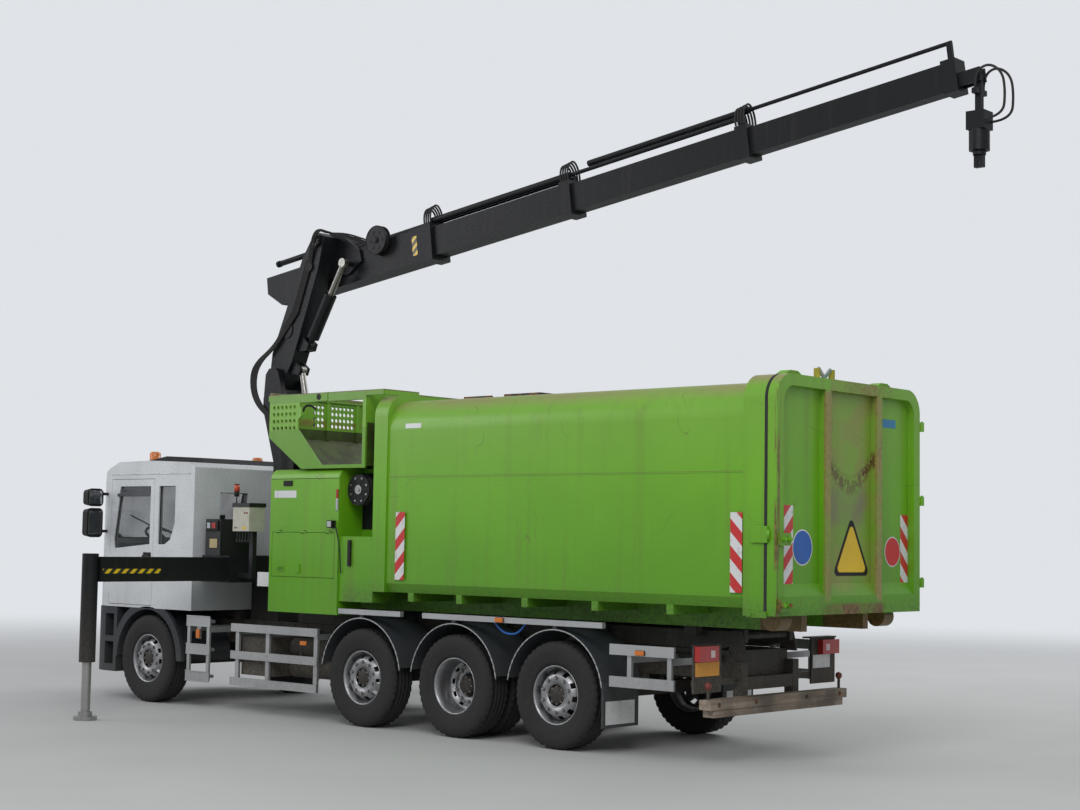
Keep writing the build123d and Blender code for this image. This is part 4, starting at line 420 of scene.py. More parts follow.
roof = Finish("roof_fitting_paint", Roughness=0.55)
blotch = roof.noise(9, 6).between(0.42, 0.55)
rust = roof.mix(roof.noise(55, 4).between(0.3, 0.7), RUST_DARK, RUST_PALE)
galvanised = roof.mix(blotch, (0.2, 0.3, 0.27), (0.34, 0.38, 0.36))
at_rear = roof.x < DRIVE_X - 3.5
lever = within(roof.y, 0.085, 0.305, 0.002)
posts = within(roof.y, 0.05, 0.34, 0.002)
dark = roof.mix(blotch, (0.03, 0.028, 0.026), rust)
green = roof.mix(blotch * 0.3, LIME, (0.2, 0.19, 0.05))
yellow = roof.mix(blotch * 0.4, (0.42, 0.38, 0.02), (0.2, 0.15, 0.03))
rear_colour = roof.mix(posts, green, roof.mix(lever, yellow, galvanised))
roof.set(Base_Color=roof.mix(at_rear, dark, rear_colour))
roof_paint = roof.material
chrome_rod = smooth_metal("chromed_rod", (0.3, 0.29, 0.27), 0.3)
silver_rim = smooth_metal("rim_silver", (0.4, 0.4, 0.41), 0.38)
bolt_steel = smooth_metal("bolt_steel", (0.35, 0.34, 0.33), 0.35)
tyre_rubber = rubbery("tyre_rubber", (0.011, 0.011, 0.012), 0.16)
hose_rubber = rubbery("hose_rubber", (0.012, 0.012, 0.013), 0.2)
lens_red = lens("red_lens", (0.5, 0.015, 0.01))
lens_flame = lens("flame_lens", (0.7, 0.07, 0.012))
lens_orange = lens("orange_lens", (0.85, 0.22, 0.01))
lens_clear = lens("clear_lens", (0.6, 0.62, 0.65))

lamps = Finish("head_and_tail_lamps", Coat_Weight=0.6)
ribs = ((lamps.x + lamps.y) * 90).fraction().between(0.2, 0.6)
square = within(lamps.y.size(), 0.94, 1.005, 0.002) * within(lamps.z, 0.965, 1.03, 0.002)
tail = lamps.mix(square, (0.42, 0.012, 0.012), (0.62, 0.5, 0.5))
is_front = lamps.x > DRIVE_X
lamps.set(Base_Color=lamps.mix(is_front, tail, (0.6, 0.62, 0.65)), Roughness=0.15 + 0.1 * ribs)
lamps.bump(ribs, 0.0012)
lens_lamps = lamps.material
bolt_dark = painted("bolt_black", (0.03, 0.03, 0.03), 0.4, 0.3, 0.1, 1.6)
smoked = painted("smoked_plastic", (0.045, 0.05, 0.06), 0.2, 0.1, 0.1, 1.6, Coat_Weight=0.5)
edge_grey = painted("guard_edge_grey", (0.42, 0.43, 0.44), 0.4, 0.3, 0.1, 1.4)
knob_red = painted("knob_red", (0.2, 0.02, 0.015), 0.4, 0.3, 0.1, 1.4)
mirror_silver = smooth_metal("mirror_silver", (0.7, 0.72, 0.74), 0.03)

controls = Finish("crane_control_paint", Roughness=0.4)
box_part = (controls.z > 2.06) * (controls.z < 2.338) * (controls.x < DRIVE_X + 3.7)
worn = controls.noise(12, 4).between(0.4, 0.75)
beige = controls.mix(worn * 0.35, (0.5, 0.49, 0.41), (0.3, 0.27, 0.2))
controls.set(Base_Color=controls.mix(box_part, (0.014, 0.014, 0.016), beige))
paint_controls = controls.material

cab_glass = Finish("cab_glass", Roughness=0.03, IOR=1.45, Coat_Weight=0.5)
film = cab_glass.noise(3, 4).between(0.35, 0.8)
cab_glass.set(Base_Color=cab_glass.mix(film, (0.02, 0.03, 0.03), (0.06, 0.075, 0.075)))
cab_glass.set(Alpha=0.28 + 0.12 * film)
glass = cab_glass.material
print("metal, rubber, lens and glass finishes ready")

# %% [markdown]
# The timber of the rear beam is old softwood: grain along its length, grey where the weather reached it.

# %% Weathered timber
wood = Finish("weathered_timber")
grain = wood.noise(1.0, 6, wood.stretched(30, 1.2, 30)).between(0.3, 0.7)
stain = wood.noise(2.2, 4).between(0.4, 0.65)
pale = wood.mix(grain, (0.2, 0.15, 0.11), (0.34, 0.28, 0.22))
wood.set(Base_Color=wood.mix(stain * 0.7, pale, (0.07, 0.055, 0.045)))
wood.set(Roughness=0.75 + 0.15 * grain)
wood.bump(grain, 0.003)
timber = wood.material

# %% [markdown]
# The CAD pieces keep their shapes. Each takes the finish of its real counterpart.

# %% Finishes for the CAD pieces
WORN_BY = {
    paint_chassis: "chassis_frame axle_beams engine_block chassis_tanks rear_brackets hook_frame",
    paint_cab: "cab_shell cab_door_left cab_door_right",
    glass: "cab_glass windscreen door_glass_left door_glass_right",
    plastic_grey: "cab_interior",
    plastic_slate: "front_bumper mudguards",
    plastic_black: "cab_fittings press_fittings",
    aluminium: "side_guards",
    timber: "buffer_beam",
    lens_lamps: "lamps",
    chrome_rod: "lift_rod fold_rod",
    steel_pale: "outrigger_leg_left outrigger_leg_right",
    paint_lime: "container_body press_housing machine_cabinet cabinet_flap",
    paint_hopper: "press_hopper",
    paint_door: "rear_door",
    paint_controls: "crane_controls",
    roof_paint: "roof_fittings",
    hose_rubber: "tip_hoses",
}
FINISH_OF = {name: finish for finish, names in WORN_BY.items() for name in names.split()}
for name, part in nodes.items():
    finish = FINISH_OF.get(name, tyre_rubber if name.startswith("wheel") else paint_black)
    part.data.materials.clear()
    part.data.materials.append(finish)
print(len(nodes), "CAD pieces finished")

# %% [markdown]
# Every added piece is made in the row's frame and then rides on the CAD body that carries it. A function
# marked with `piece` builds one, in an empty bmesh, and the piece takes the function's name. Inside it
# the makers below do the work: a skin over rings of points, a lathe, a box, a plate, a bar or a chain
# of bars. Hoses are curves.

# %% Makers
SKIN_Y = 1.2505


def at(x, y, z):
    """A point given from the drive axle."""
    return Vector((x + DRIVE_X, y, z))


def turns(count, start=0.0):
    """So many angles in equal steps round a circle."""
    return [2 * pi * (k + start) / count for k in range(count)]


def spoke(angle, radius, y=0.0):
    """A step outwards at an angle round a line along y, and along that line."""
    return Vector((radius * cos(angle), y, radius * sin(angle)))


def keep(name, shape, body, slot, *finishes):
    """Turn a finished mesh or curve into a piece that rides on a body."""
    made = stand(name, shape)
    for finish in finishes:
        shape.materials.append(finish)
    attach(made, body)
    return made


def piece(body, slot, *finishes, name=None):
    """Keep what the function below builds as a piece, under its own name or the given one."""
    def kept(build):
        label = name or build.__name__
        work = bmesh.new()
        build(work)
        bmesh.ops.recalc_face_normals(work, faces=work.faces)
        mesh = bpy.data.meshes.new(label)
        work.to_mesh(mesh)
        work.free()
        return keep(label, mesh, body, slot, *finishes)
    return kept


def loft(work, rings, closed=False, material=0, smooth=True, skip=None):
    """A skin over rings of points; material may be one for each step, skip(ring, step) leaves a hole."""
    rings = [[work.verts.new(point) for point in points] for points in rings]
    for number, (first, second) in enumerate(zip(rings, rings[1:] + rings[:closed])):
        for k in range(len(first)):
            if skip and skip(number, k):
                continue
            n = (k + 1) % len(first)
            face = work.faces.new((first[k], first[n], second[n], second[k]))
            face.material_index = material[number] if isinstance(material, tuple) else material
            face.smooth = smooth
    return rings


def lathe(work, middle, axis, profile, segments, closed=False, material=0, skip=None):
    """Turn (radius, reach) points about a line through middle, along axis 0, 1 or 2."""
    across, upward = (number for number in range(3) if number != axis)
    rings = []
    for radius, reach in profile:
        points = [Vector(middle) for _ in range(segments)]
        for point, angle in zip(points, turns(segments)):
            point[axis] += reach
            point[across] += radius * cos(angle)
            point[upward] += radius * sin(angle)
        rings.append(points)
    loft(work, rings, closed, material, skip=skip)


def slab(work, low, high, bevel=0.0, material=0):
    """A box between two opposite corners, with rounded edges."""
    middle = (Vector(low) + Vector(high)) / 2
    size = [abs(part) for part in Vector(high) - Vector(low)]
    made = bmesh.ops.create_cube(work, size=1.0)["verts"]
    for vert in made:
        vert.co = [share * part for share, part in zip(vert.co, size)]
    if bevel:
        edges = list({edge for vert in made for edge in vert.link_edges})
        result = bmesh.ops.bevel(work, geom=edges, offset=bevel, segments=2, profile=0.6, affect="EDGES")
        made = {vert for face in result["faces"] for vert in face.verts} | {v for v in made if v.is_valid}
    for face in {face for vert in made for face in vert.link_faces}:
        face.material_index = material
    for vert in made:
        vert.co += middle


def prism(work, front, back, material=0):
    """A plate between two outlines with the same number of points."""
    front, back = ([work.verts.new(point) for point in outline] for outline in (front, back))
    sides = [(front[k - 1], back[k - 1], back[k], front[k]) for k in range(len(front))]
    for face in (front, back[::-1], *sides):
        work.faces.new(face).material_index = material


def rod(work, start, end, radius, segments=16, material=0):
    """A round bar between two points."""
    start, end = Vector(start), Vector(end)
    line = end - start
    matrix = Matrix.Translation((start + end) / 2) @ line.to_track_quat("Z", "Y").to_matrix().to_4x4()
    made = bmesh.ops.create_cone(
        work, cap_ends=True, segments=segments, radius1=radius, radius2=radius, depth=line.length,
        matrix=matrix,
    )["verts"]
    for face in {face for vert in made for face in vert.link_faces}:
        face.material_index = material
        face.smooth = len(face.verts) == 4


def chain(work, points, radius):
    """Thin bars from point to point."""
    for first, second in zip(points, points[1:]):
        rod(work, first, second, radius, 8)


def slabs(work, rows):
    """Slabs from rows of x, x, y, y, z, z from the drive axle, with a bevel and a material if need be."""
    for x0, x1, y0, y1, z0, z1, *more in rows:
        slab(work, at(x0, y0, z0), at(x1, y1, z1), *more)


def curve_of(name, points, radius, roundness, steps=None):
    """A round-sectioned curve: smooth with so many steps a span, or else a closed loop of straight runs."""
    curve = bpy.data.curves.new(name, "CURVE")
    curve.dimensions = "3D"
    curve.bevel_depth, curve.bevel_resolution = radius, roundness
    curve.use_fill_caps = True
    if steps:
        curve.resolution_u = steps
    spline = curve.splines.new("NURBS" if steps else "POLY")
    spline.points.add(len(points) - 1)
    for number, point in enumerate(points):
        spline.points[number].co = (*point, 1)
    if steps:
        spline.order_u = 3
        spline.use_endpoint_u = True
    else:
        spline.use_cyclic_u = True
    return curve


def tube(name, points, radius, body, slot="hose_rubber", finish=hose_rubber):
    """A hose or strap on a smooth curve with the given control points."""
    return keep(name, curve_of(name, points, radius, 3, 10), body, slot, finish)


print("makers ready")

# %% [markdown]
# A lorry tyre has four round grooves and, at both shoulders, short cross grooves between blocks. The
# profile below gives the round grooves; the cross grooves come from turning the profile in many segments
# and setting every third one back a little. Ten nuts hold each wheel. The rims of the single wheels bulge
# outwards to the hub ring, and those of the twin wheels are dished deep inwards. Both kinds have hand
# holes, which the lathe leaves open.

# %% Wheels with tread, rims with hand holes, nuts and hubs
TYRE_SEGMENTS = 132
TYRE_WIDTH = 0.3
INNER_FACES = {"front": (0.935,), "pusher": (0.935,), "drive": (0.935, 0.595), "tag": (0.935,)}
WHEEL_FINISHES = (tyre_rubber, silver_rim, bolt_steel, paint_black)
HOLE_EVERY = 12
GROOVE = 0.011
NUT_CIRCLE = 0.1675


def wheel_ring(work, axle, side, profile, segments, material, closed=True, skip=None):
    """Turn (radius, y) points about the axle, y counted outwards on either side."""
    lathe(work, axle, 1, [(radius, side * y) for radius, y in profile], segments, closed, material, skip)


def tyre(work, axle, side, inner, outer):
    """One tyre from its inner to its outer width, with round and cross grooves."""
    wide = outer - inner
    tread = []
    low = WHEEL_R - GROOVE
    for start, end in ((0.0, 0.17), (0.2, 0.37), (0.4, 0.6), (0.63, 0.8), (0.83, 1.0)):
        y0, y1 = (inner + wide * (0.12 + 0.76 * share) for share in (start, end))
        tread += [(low, y0), (WHEEL_R, y0 + 0.002), (WHEEL_R, y1 - 0.002), (low, y1)]
    tread[0] = (WHEEL_R, tread[0][1])
    tread[-1] = (WHEEL_R, tread[-1][1])
    flank = ((0.288, 0.07), (0.33, 0.02), (0.372, 0.012), (0.376, 0.006), (0.44, 0.001), (0.474, 0.012),
             (0.498, 0.04))
    section = [(radius, inner + share * wide) for radius, share in flank] + tread
    section += [(radius, outer - share * wide) for radius, share in reversed(flank)]
    before = len(work.verts)
    wheel_ring(work, axle, side, section, TYRE_SEGMENTS, 0)
    work.verts.ensure_lookup_table()
    for number, vert in enumerate(work.verts[before:]):
        ring, segment = divmod(number, TYRE_SEGMENTS)
        shoulder = 6 <= ring <= 9 or len(section) - 10 <= ring <= len(section) - 7
        if shoulder and segment % 3 == 0:
            middle = Vector((axle.x, vert.co.y, axle.z))
            vert.co = middle + (vert.co - middle) * (1 - GROOVE / WHEEL_R)


def rim_barrel(work, axle, side, inner, outer):
    """The barrel between the two beads, with its lips."""
    wide = outer - inner
    near, far = inner + 0.07 * wide, outer - 0.07 * wide
    section = [
        (0.2875, near), (0.284, near + 0.018), (0.262, near + 0.06), (0.262, far - 0.06),
        (0.284, far - 0.018), (0.2875, far), (0.279, far + 0.001), (0.27, far - 0.012), (0.25, far - 0.055),
        (0.25, near + 0.055), (0.274, near),
    ]
    wheel_ring(work, axle, side, section, 72, 1)


def wheel_disc(work, axle, side, face, dish):
    """The disc from the hub ring to the barrel, with ten hand holes and ten nuts."""
    back = face - dish
    profile = [
        (0.105, face), (0.188, face), (0.196, face - 0.006), (0.2, face - dish * 0.1),
        (0.236, face - dish * 0.75), (0.252, back), (0.252, back - 0.014),
        (0.23, face - dish * 0.75 - 0.016), (0.19, face - 0.03), (0.105, face - 0.02),
    ]

    def hole(ring, segment):
        return ring in (3, 7) and segment % HOLE_EVERY < 5

    wheel_ring(work, axle, side, profile, 10 * HOLE_EVERY, 1, skip=hole)
    for angle in turns(10, 0.5):
        spots = (axle + spoke(angle, NUT_CIRCLE, side * (face + out)) for out in (0, 0.006, 0.024))
        foot, washer, top = spots
        rod(work, foot, washer, 0.022, 18, 2)
        rod(work, washer, top, 0.0165, 6, 2)


def hub(work, axle, side, face, deep):
    """The hub's end: a dark drum with a cap and its small bolts."""
    end = face + deep
    profile = [(0.0005, end), (0.07, end), (0.085, end - 0.012), (0.1, end - 0.03), (0.104, face - 0.03),
               (0.0005, face - 0.03)]
    wheel_ring(work, axle, side, profile, 48, 3, closed=False)
    for angle in turns(8):
        rod(work, *(axle + spoke(angle, 0.084, side * (end - back)) for back in (0.022, 0.004)), 0.008, 6, 2)


for axle_name, axle_x in AXLES.items():
    for side, hand in SIDES:
        axle = at(axle_x, 0, WHEEL_R)
        wheel_name = f"wheel_{axle_name}_{hand}"

        @piece(wheel_name, "tyre", *WHEEL_FINISHES, name=f"dressed_{wheel_name}")
        def wheel(work):
            for inner in INNER_FACES[axle_name]:
                tyre(work, axle, side, inner, inner + TYRE_WIDTH)
                rim_barrel(work, axle, side, inner, inner + TYRE_WIDTH)
            if axle_name == "drive":
                wheel_disc(work, axle, side, 0.995, -0.03)
                hub(work, axle, side, 0.995, 0.06)
            else:
                wheel_disc(work, axle, side, 1.205, 0.08)
                hub(work, axle, side, 1.19, 0.012)

        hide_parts(wheel_name)
print("8 wheels dressed")

# %% [markdown]
# Slanted red and white film marks the load's outline, and yellow and black film the outriggers. On the
# real lorry it is a thin reflective sheet, so here it is a plate of one or two millimetres. Its stripes
# come from the place on the surface: the sum of the coordinates grows across the slant.

# %% Warning stripes and blank signs
def striped(name, first, second, pitch, slant=1.0):
    """Reflective film in two colours, slanted by adding height to the run along the piece."""
    finish = Finish(name, Coat_Weight=0.3)
    run = (finish.x + finish.y + finish.z * slant) / pitch
    band = run.fraction() > 0.5
    worn = finish.noise(25, 4).between(0.55, 0.7) * 0.35
    finish.set(Base_Color=finish.layers(first, (band, second), (worn, DUST)), Roughness=0.35 + 0.3 * worn)
    return finish.material


film_red = striped("red_white_film", (0.55, 0.02, 0.02), (0.68, 0.68, 0.68), 0.24)
film_red_back = striped("red_white_film_back", (0.55, 0.02, 0.02), (0.68, 0.68, 0.68), 0.24, -1.0)
film_yellow = striped("yellow_black_film", (0.75, 0.5, 0.02), (0.02, 0.02, 0.02), 0.11, 1.0)
film_white = painted("white_film", (0.75, 0.76, 0.77), 0.4, 0.3, 0.25, 2.5)
film_blue = painted("blue_film", (0.02, 0.12, 0.45), 0.35, 0.3, 0.1, 1.0)
film_pale_blue = painted("pale_blue_film", (0.03, 0.22, 0.42), 0.4, 0.3, 0.2, 1.0)
film_redsign = painted("red_film", (0.6, 0.02, 0.02), 0.35, 0.3, 0.1, 1.0)
film_sign_yellow = painted("yellow_film", (0.78, 0.52, 0.02), 0.4, 0.3, 0.1, 1.0)
plate_sand = painted("sand_plate", (0.5, 0.4, 0.2), 0.45, 0.3, 0.2, 2.0)
plate_orange = painted("orange_plate", (0.75, 0.32, 0.02), 0.4, 0.35, 0.1, 1.4)

PANEL_X = -3.854 + DRIVE_X


def film(name, low, high, body, finish):
    """A flat plate of film between two corners."""
    @piece(body, "lime_green", finish, name=name)
    def plate(work):
        slab(work, low, high)


for end, x0, x1, top, finish in (
    ("front", 0.73, 0.865, 2.285, film_red), ("rear", -3.56, -3.43, 2.29, film_red_back),
):
    for side, hand in SIDES:
        low, high = at(x0, side * SKIN_Y, 1.575), at(x1, side * 1.2515, top)
        film(f"film_{end}_{hand}", low, high, "load_body", finish)
film("film_door_left", at(-3.8555, 0.885, 1.64), at(-3.854, 1.03, 2.36), "rear_door", film_red)
film("film_door_right", at(-3.8555, -1.135, 1.62), at(-3.854, -0.995, 2.315), "rear_door", film_red_back)
for (side, hand), leg_x in zip(SIDES, (3.806, 4.045)):
    low, high = at(leg_x - 0.1015, side * 2.13, 1.575), at(leg_x - 0.1005, side * 2.9, 1.625)
    film(f"film_beam_{hand}", low, high, f"outrigger_beam_{hand}", film_yellow)


def sign_disc(name, y, z, radius, finish):
    """A round blank sign on the door's middle panel, with its narrow white rim."""
    @piece("rear_door", "lime_green", finish, film_white, name=name)
    def disc(work):
        for x0, x1, part, material in ((0, 0.0015, radius, 1), (0.0014, 0.0028, radius * 0.93, 0)):
            rod(work, (PANEL_X - x0, y, z), (PANEL_X - x1, y, z), part, 48, material)


sign_disc("sign_blue", 0.73, 1.985, 0.163, film_blue)
sign_disc("sign_red", -0.845, 1.955, 0.145, film_redsign)


@piece("rear_door", "lime_green", film_sign_yellow, plastic_black)
def sign_triangle(work):
    """A blank warning triangle with round corners and a dark edge."""
    corners = [
        [0.86 * part(radians(angle)) + 0.14 * part(radians(angle + 20 * k)) for part in (cos, sin)]
        for angle in (90, 210, 330) for k in range(-3, 4)
    ]
    for half, lift, material in ((0.33, 0.0015, 1), (0.2706, 0.0028, 0)):
        front = [(PANEL_X - lift, -0.1 + half * a, 1.915 + half * b) for a, b in corners]
        prism(work, front, [(PANEL_X, y, z) for _, y, z in front], material)


film("label_door", at(-3.8555, -0.9, 3.15), at(-3.854, -0.66, 3.23), "rear_door", film_pale_blue)
print("films and blank signs placed")

# %% [markdown]
# Amber side markers with a dark foot stand along the guards, and the ladder has folded steps.

# %% Marker lamps and ladder steps
def marker_lamp(name, place, side=1, wide=0.1, high=0.045):
    """A small lens on a dark foot that faces outwards."""
    @piece("truck", "lamp_lens", lens_orange, plastic_black, name=name)
    def lamp(work):
        for reach, grow, material in ((0.008, 1.12, 1), (0.022, 1.0, 0)):
            half = Vector((wide / 2 * grow, 0, high / 2 * grow))
            slab(work, place - half, place + half + Vector((0, side * reach, 0)), 0.004, material)


for side, hand in SIDES:
    for number, (x, y, z) in enumerate(((2.3, 1.2205, 0.84), (-0.64, 1.2455, 1.215), (-2.4, 1.2205, 0.98))):
        marker_lamp(f"marker_{number}_{hand}", at(x, side * y, z), side)
marker_lamp("marker_ladder", at(4.165, 1.212, 0.86), wide=0.062, high=0.1)


@piece("truck", "bare_aluminium", aluminium)
def ladder_steps(work):
    for z in (0.365, 0.68, 1.005):
        slab(work, at(3.945, 1.2203, z - 0.062), at(4.385, 1.226, z + 0.062), 0.002)
        slab(work, at(3.945, 1.226, z + 0.05), at(4.385, 1.232, z + 0.062), 0.002)
        slab(work, at(3.945, 1.226, z - 0.062), at(4.385, 1.232, z - 0.05), 0.002)
    slab(work, at(4.128, 1.204, 0.8), at(4.202, 1.2115, 1.0), 0.001)


print("marker lamps placed")

# %% [markdown]
# Small pieces have to sit exactly on the CAD surfaces. A straight line sent at a CAD piece gives the
# point where it meets the surface and the way the surface faces there.

# %% Reading the CAD surfaces, bolts in rows, hoses across a joint
TREES = {}


def touch(node, start, along):
    """Where a line from the drive axle's frame first meets a CAD piece, and the surface's normal."""
    if node not in TREES:
        mesh = nodes[node].data
        places = [nodes[node].matrix_world @ vert.co for vert in mesh.vertices]
        TREES[node] = BVHTree.FromPolygons(places, [tuple(face.vertices) for face in mesh.polygons])
    place, normal, _, _ = TREES[node].ray_cast(at(*start), Vector(along).normalized())
    return place, normal


def bolts(name, body, spots, radius=0.012, finish=bolt_dark):
    """Hexagon heads on washers, as one mesh; each spot is a point and the way its surface faces."""
    @piece(body, "chassis_paint", finish, name=name)
    def heads(work):
        for place, normal in spots:
            place, normal = Vector(place), Vector(normal).normalized()
            rod(work, place - normal * 0.002, place + normal * 0.003, radius * 1.5, 20, 0)
            rod(work, place + normal * 0.002, place + normal * radius * 1.1, radius, 6, 0)


def outline_points(node, flat, wanted=lambda place: True):
    """The outline of a pane's outer face, looking along x (0) or y (1), in order round the pane."""
    side = 1 - flat
    best = {}
    for vert in nodes[node].data.vertices:
        place = nodes[node].matrix_world @ vert.co
        if wanted(place):
            key = (round(place[side], 3), round(place.z, 3))
            if key not in best or abs(place[flat]) > abs(best[key][flat]):
                best[key] = place
    places = list(best.values())
    middle = sum(places, Vector()) / len(places)
    return sorted(places, key=lambda place: atan2(place.z - middle.z, place[side] - middle[side]))


def gasket(name, points, body, radius=0.009):
    """A rubber bead round a pane."""
    keep(name, curve_of(name, points, radius, 2), body, "black_plastic", hose_rubber)


def crossing_hose(name, points, radius):
    """A hose across the joint between two bodies, baked into one fixed mesh that rides on neither."""
    shape = bpy.data.objects.new(name + "_curve", curve_of(name, points, radius, 2, 14))
    mesh = bpy.data.meshes.new_from_object(shape)
    bpy.data.objects.remove(shape)
    mesh.name = name
    mesh.materials.append(hose_rubber)
    hose = stand(name, mesh)
    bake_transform(hose)


def ring(work, middle, radius, thick):
    """A closed round ring about a line along y."""
    loft(work, [
        [middle + spoke(angle, radius + thick * cos(turn), thick * sin(turn)) for turn in turns(8)]
        for angle in turns(40)
    ], closed=True)


print("surface helpers ready")

# %% [markdown]
# Cab: rubber round every pane, a dark wind deflector over the side window, handles, wipers, horns and
# beacons on the roof, drip rails and mirror glass.

# %% Cab trim
for side, hand in SIDES:
    gasket(f"gasket_door_{hand}", outline_points(f"door_glass_{hand}", 1), f"cab_door_{hand}")
    gasket(f"gasket_quarter_{hand}", outline_points("cab_glass", 1, lambda v: v.y * side > 1.0), "truck")
    low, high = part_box(f"door_glass_{hand}")
    y = side * max(abs(low.y), abs(high.y))

    @piece(f"cab_door_{hand}", "black_plastic", smoked, name=f"deflector_{hand}")
    def deflector(work):
        for step, (top, drop) in enumerate(((0.0, 0.03), (0.03, 0.085), (0.085, 0.125))):
            out = 0.006 + 0.012 * step
            slab(work, (low.x + 0.01, y + side * out, high.z - drop),
                 (high.x - 0.16 + 0.05 * step, y + side * (out + 0.008), high.z - top), 0.002)

    @piece(f"cab_door_{hand}", "black_plastic", plastic_black, name=f"handle_{hand}")
    def handle(work):
        place, _ = touch(f"cab_door_{hand}", (5.17, side * 2.0, 1.74), (0, -side, 0))
        plate, bar = (0.075, 0.05, -0.001, 0.006, 0.003), (0.065, 0.018, 0.006, 0.034, 0.01)
        for wide, tall, y0, y1, bevel in (plate, bar):
            slab(work, (place.x - wide, place.y + side * y0, 1.74 - tall),
                 (place.x + wide, place.y + side * y1, 1.74 + tall), bevel)

gasket("gasket_rear_window", outline_points("cab_glass", 0, lambda v: abs(v.y) < 1.0), "truck")
gasket("gasket_windscreen", outline_points("windscreen", 0), "truck", 0.012)


@piece("truck", "black_plastic", plastic_black)
def wipers(work):
    for y in (-0.62, 0.1):
        foot, _ = touch("cab_shell", (8.0, y, 1.93), (-1, 0, 0))
        knee, out = touch("windscreen", (8.0, y + 0.315, 2.13), (-1, 0, 0))
        rod(work, foot + Vector((-0.005, 0, 0)), foot + Vector((0.028, 0, 0)), 0.018)
        rod(work, foot + Vector((0.022, 0, 0)), knee + out * 0.03, 0.008, 8)
        blade = []
        for step, z in ((-0.3, 2.045), (0, 2.13), (0.3, 2.24)):
            place, normal = touch("windscreen", (8.0, knee.y + step, z), (-1, 0, 0))
            blade.append(place + normal * 0.014)
        chain(work, blade, 0.009)


@piece("truck", "black_plastic", plastic_black)
def roof_horns(work):
    profile = ((0.0005, 0), (0.028, 0.002), (0.03, 0.05), (0.052, 0.13), (0.06, 0.19), (0.055, 0.192),
               (0.0005, 0.17))
    for y in (0.42, -0.42):
        place, _ = touch("cab_shell", (6.02, y, 5.0), (0, 0, -1))
        lathe(work, (place.x, y, place.z + 0.07), 0, profile, 28)
        slab(work, place + Vector((0.04, -0.02, -0.01)), place + Vector((0.08, 0.02, 0.045)), 0.003)


@piece("truck", "lamp_lens", lens_orange, plastic_black)
def cab_beacons(work):
    """Orange domes on dark feet, ribbed like a lens."""
    profile = ((0.07616, 0), (0.07616, 0.022), (0.068, 0.026), (0.068, 0.108), (0.06256, 0.12555),
               (0.0408, 0.135), (0.0005, 0.135))
    for y in (0.82, -0.82):
        lathe(work, at(5.64, y, 2.9), 2, profile, 40, material=(1, 1, 0, 0, 0, 0))


@piece("truck", "cab_white", paint_cab)
def drip_rails(work):
    for side in (1, -1):
        stations = (4.36, 4.7, 5.1, 5.5, 5.9, 6.05)
        chain(work, [touch("cab_shell", (x, side * 3.0, 2.735), (0, -side, 0))[0] for x in stations], 0.007)


@piece("truck", "glass", mirror_silver)
def mirror_glass(work):
    for side in (1, -1):
        for z0, z1 in ((2.0, 2.28), (2.37, 2.53)):
            slab(work, at(5.966, side * 1.36, z0), at(5.972, side * 1.54, z1), 0.002)


print("cab trimmed")

# %% [markdown]
# Crane: hoses run up the column's left side, loop in front of the two pivots and go on to the booms. At
# each collar of the telescopic boom a bundle of short hoses crosses from one cylinder to the next.

# %% Crane hoses, bolts and boom film
RISE = radians(7.6)
BOOM_DROP = 0.345
REEL, REEL_UP = 0.82, 0.19
RAM_LEFT, RAM_UP = -0.062, 0.4
COLUMN_HOSE = 0.0115
BOOM_Y = -0.29


def on_boom(station, left, up):
    """A point on the telescopic boom: metres along it, left of it and above its middle line."""
    origin = at(3.5 - BOOM_DROP * sin(RISE), BOOM_Y, 5.58 - BOOM_DROP * cos(RISE))
    along, over = Vector((-cos(RISE), 0, sin(RISE))), Vector((sin(RISE), 0, cos(RISE)))
    return origin + along * station + Vector((0, left, 0)) + over * up


def on_inner(along, across, y):
    """A point on the inner boom: metres from the luffing pin, towards the load and out to the left."""
    luff, elbow = at(4.18, 0, 3.95), at(3.5, 0, 5.58)
    line = (elbow - luff).normalized()
    return luff + line * along + Vector((-line.z, 0, line.x)) * across + Vector((0, y, 0))


for number in range(5):
    side = 0.022 * number
    column_top, boom_foot = at(3.98 + side, 0.2, 3.25), on_inner(0.85, 0.04 - side, 0.135)
    loop = [at(4.12 + side, 0.21, 3.45), at(4.36 + side, 0.22, 3.62), at(4.5 + side, 0.2, 3.85),
            at(4.47 + side * 1.3, 0.18, 4.12), on_inner(0.36, -0.13 - side * 0.4, 0.16),
            on_inner(0.62, -0.05 - side * 0.9, 0.14)]
    crossing_hose(f"luff_hose_{number}", [column_top, *loop, boom_foot], COLUMN_HOSE)
    below = [at(3.82 + side, 0.21, 2.05), at(3.84 + side, 0.2, 2.4), at(3.86 + side, 0.195, 2.9),
             at(3.92 + side, 0.195, 3.12)]
    tube(f"column_hose_{number}", [*below, column_top], COLUMN_HOSE, "crane_column")
    beyond = [on_inner(1.2, 0.03 - side, 0.134), on_inner(1.5, 0.02 - side, 0.136)]
    tube(f"inner_hose_{number}", [boom_foot, *beyond], COLUMN_HOSE, "inner_boom")
for number in range(3):
    side = 0.024 * number
    before = [on_inner(along, across - side, y) for along, across, y in (
        (1.5, 0.02, 0.136), (1.72, -0.02, 0.16), (1.92, 0.05, 0.2),
    )]
    after = [on_boom(0.12 + side, 0.36, 0.42), on_boom(0.35, 0.26, 0.38 - side),
             on_boom(0.52, 0.16, 0.29 - side), on_boom(0.7, 0.146, 0.2 - side)]
    crossing_hose(f"fold_hose_{number}", before + after, 0.0105)
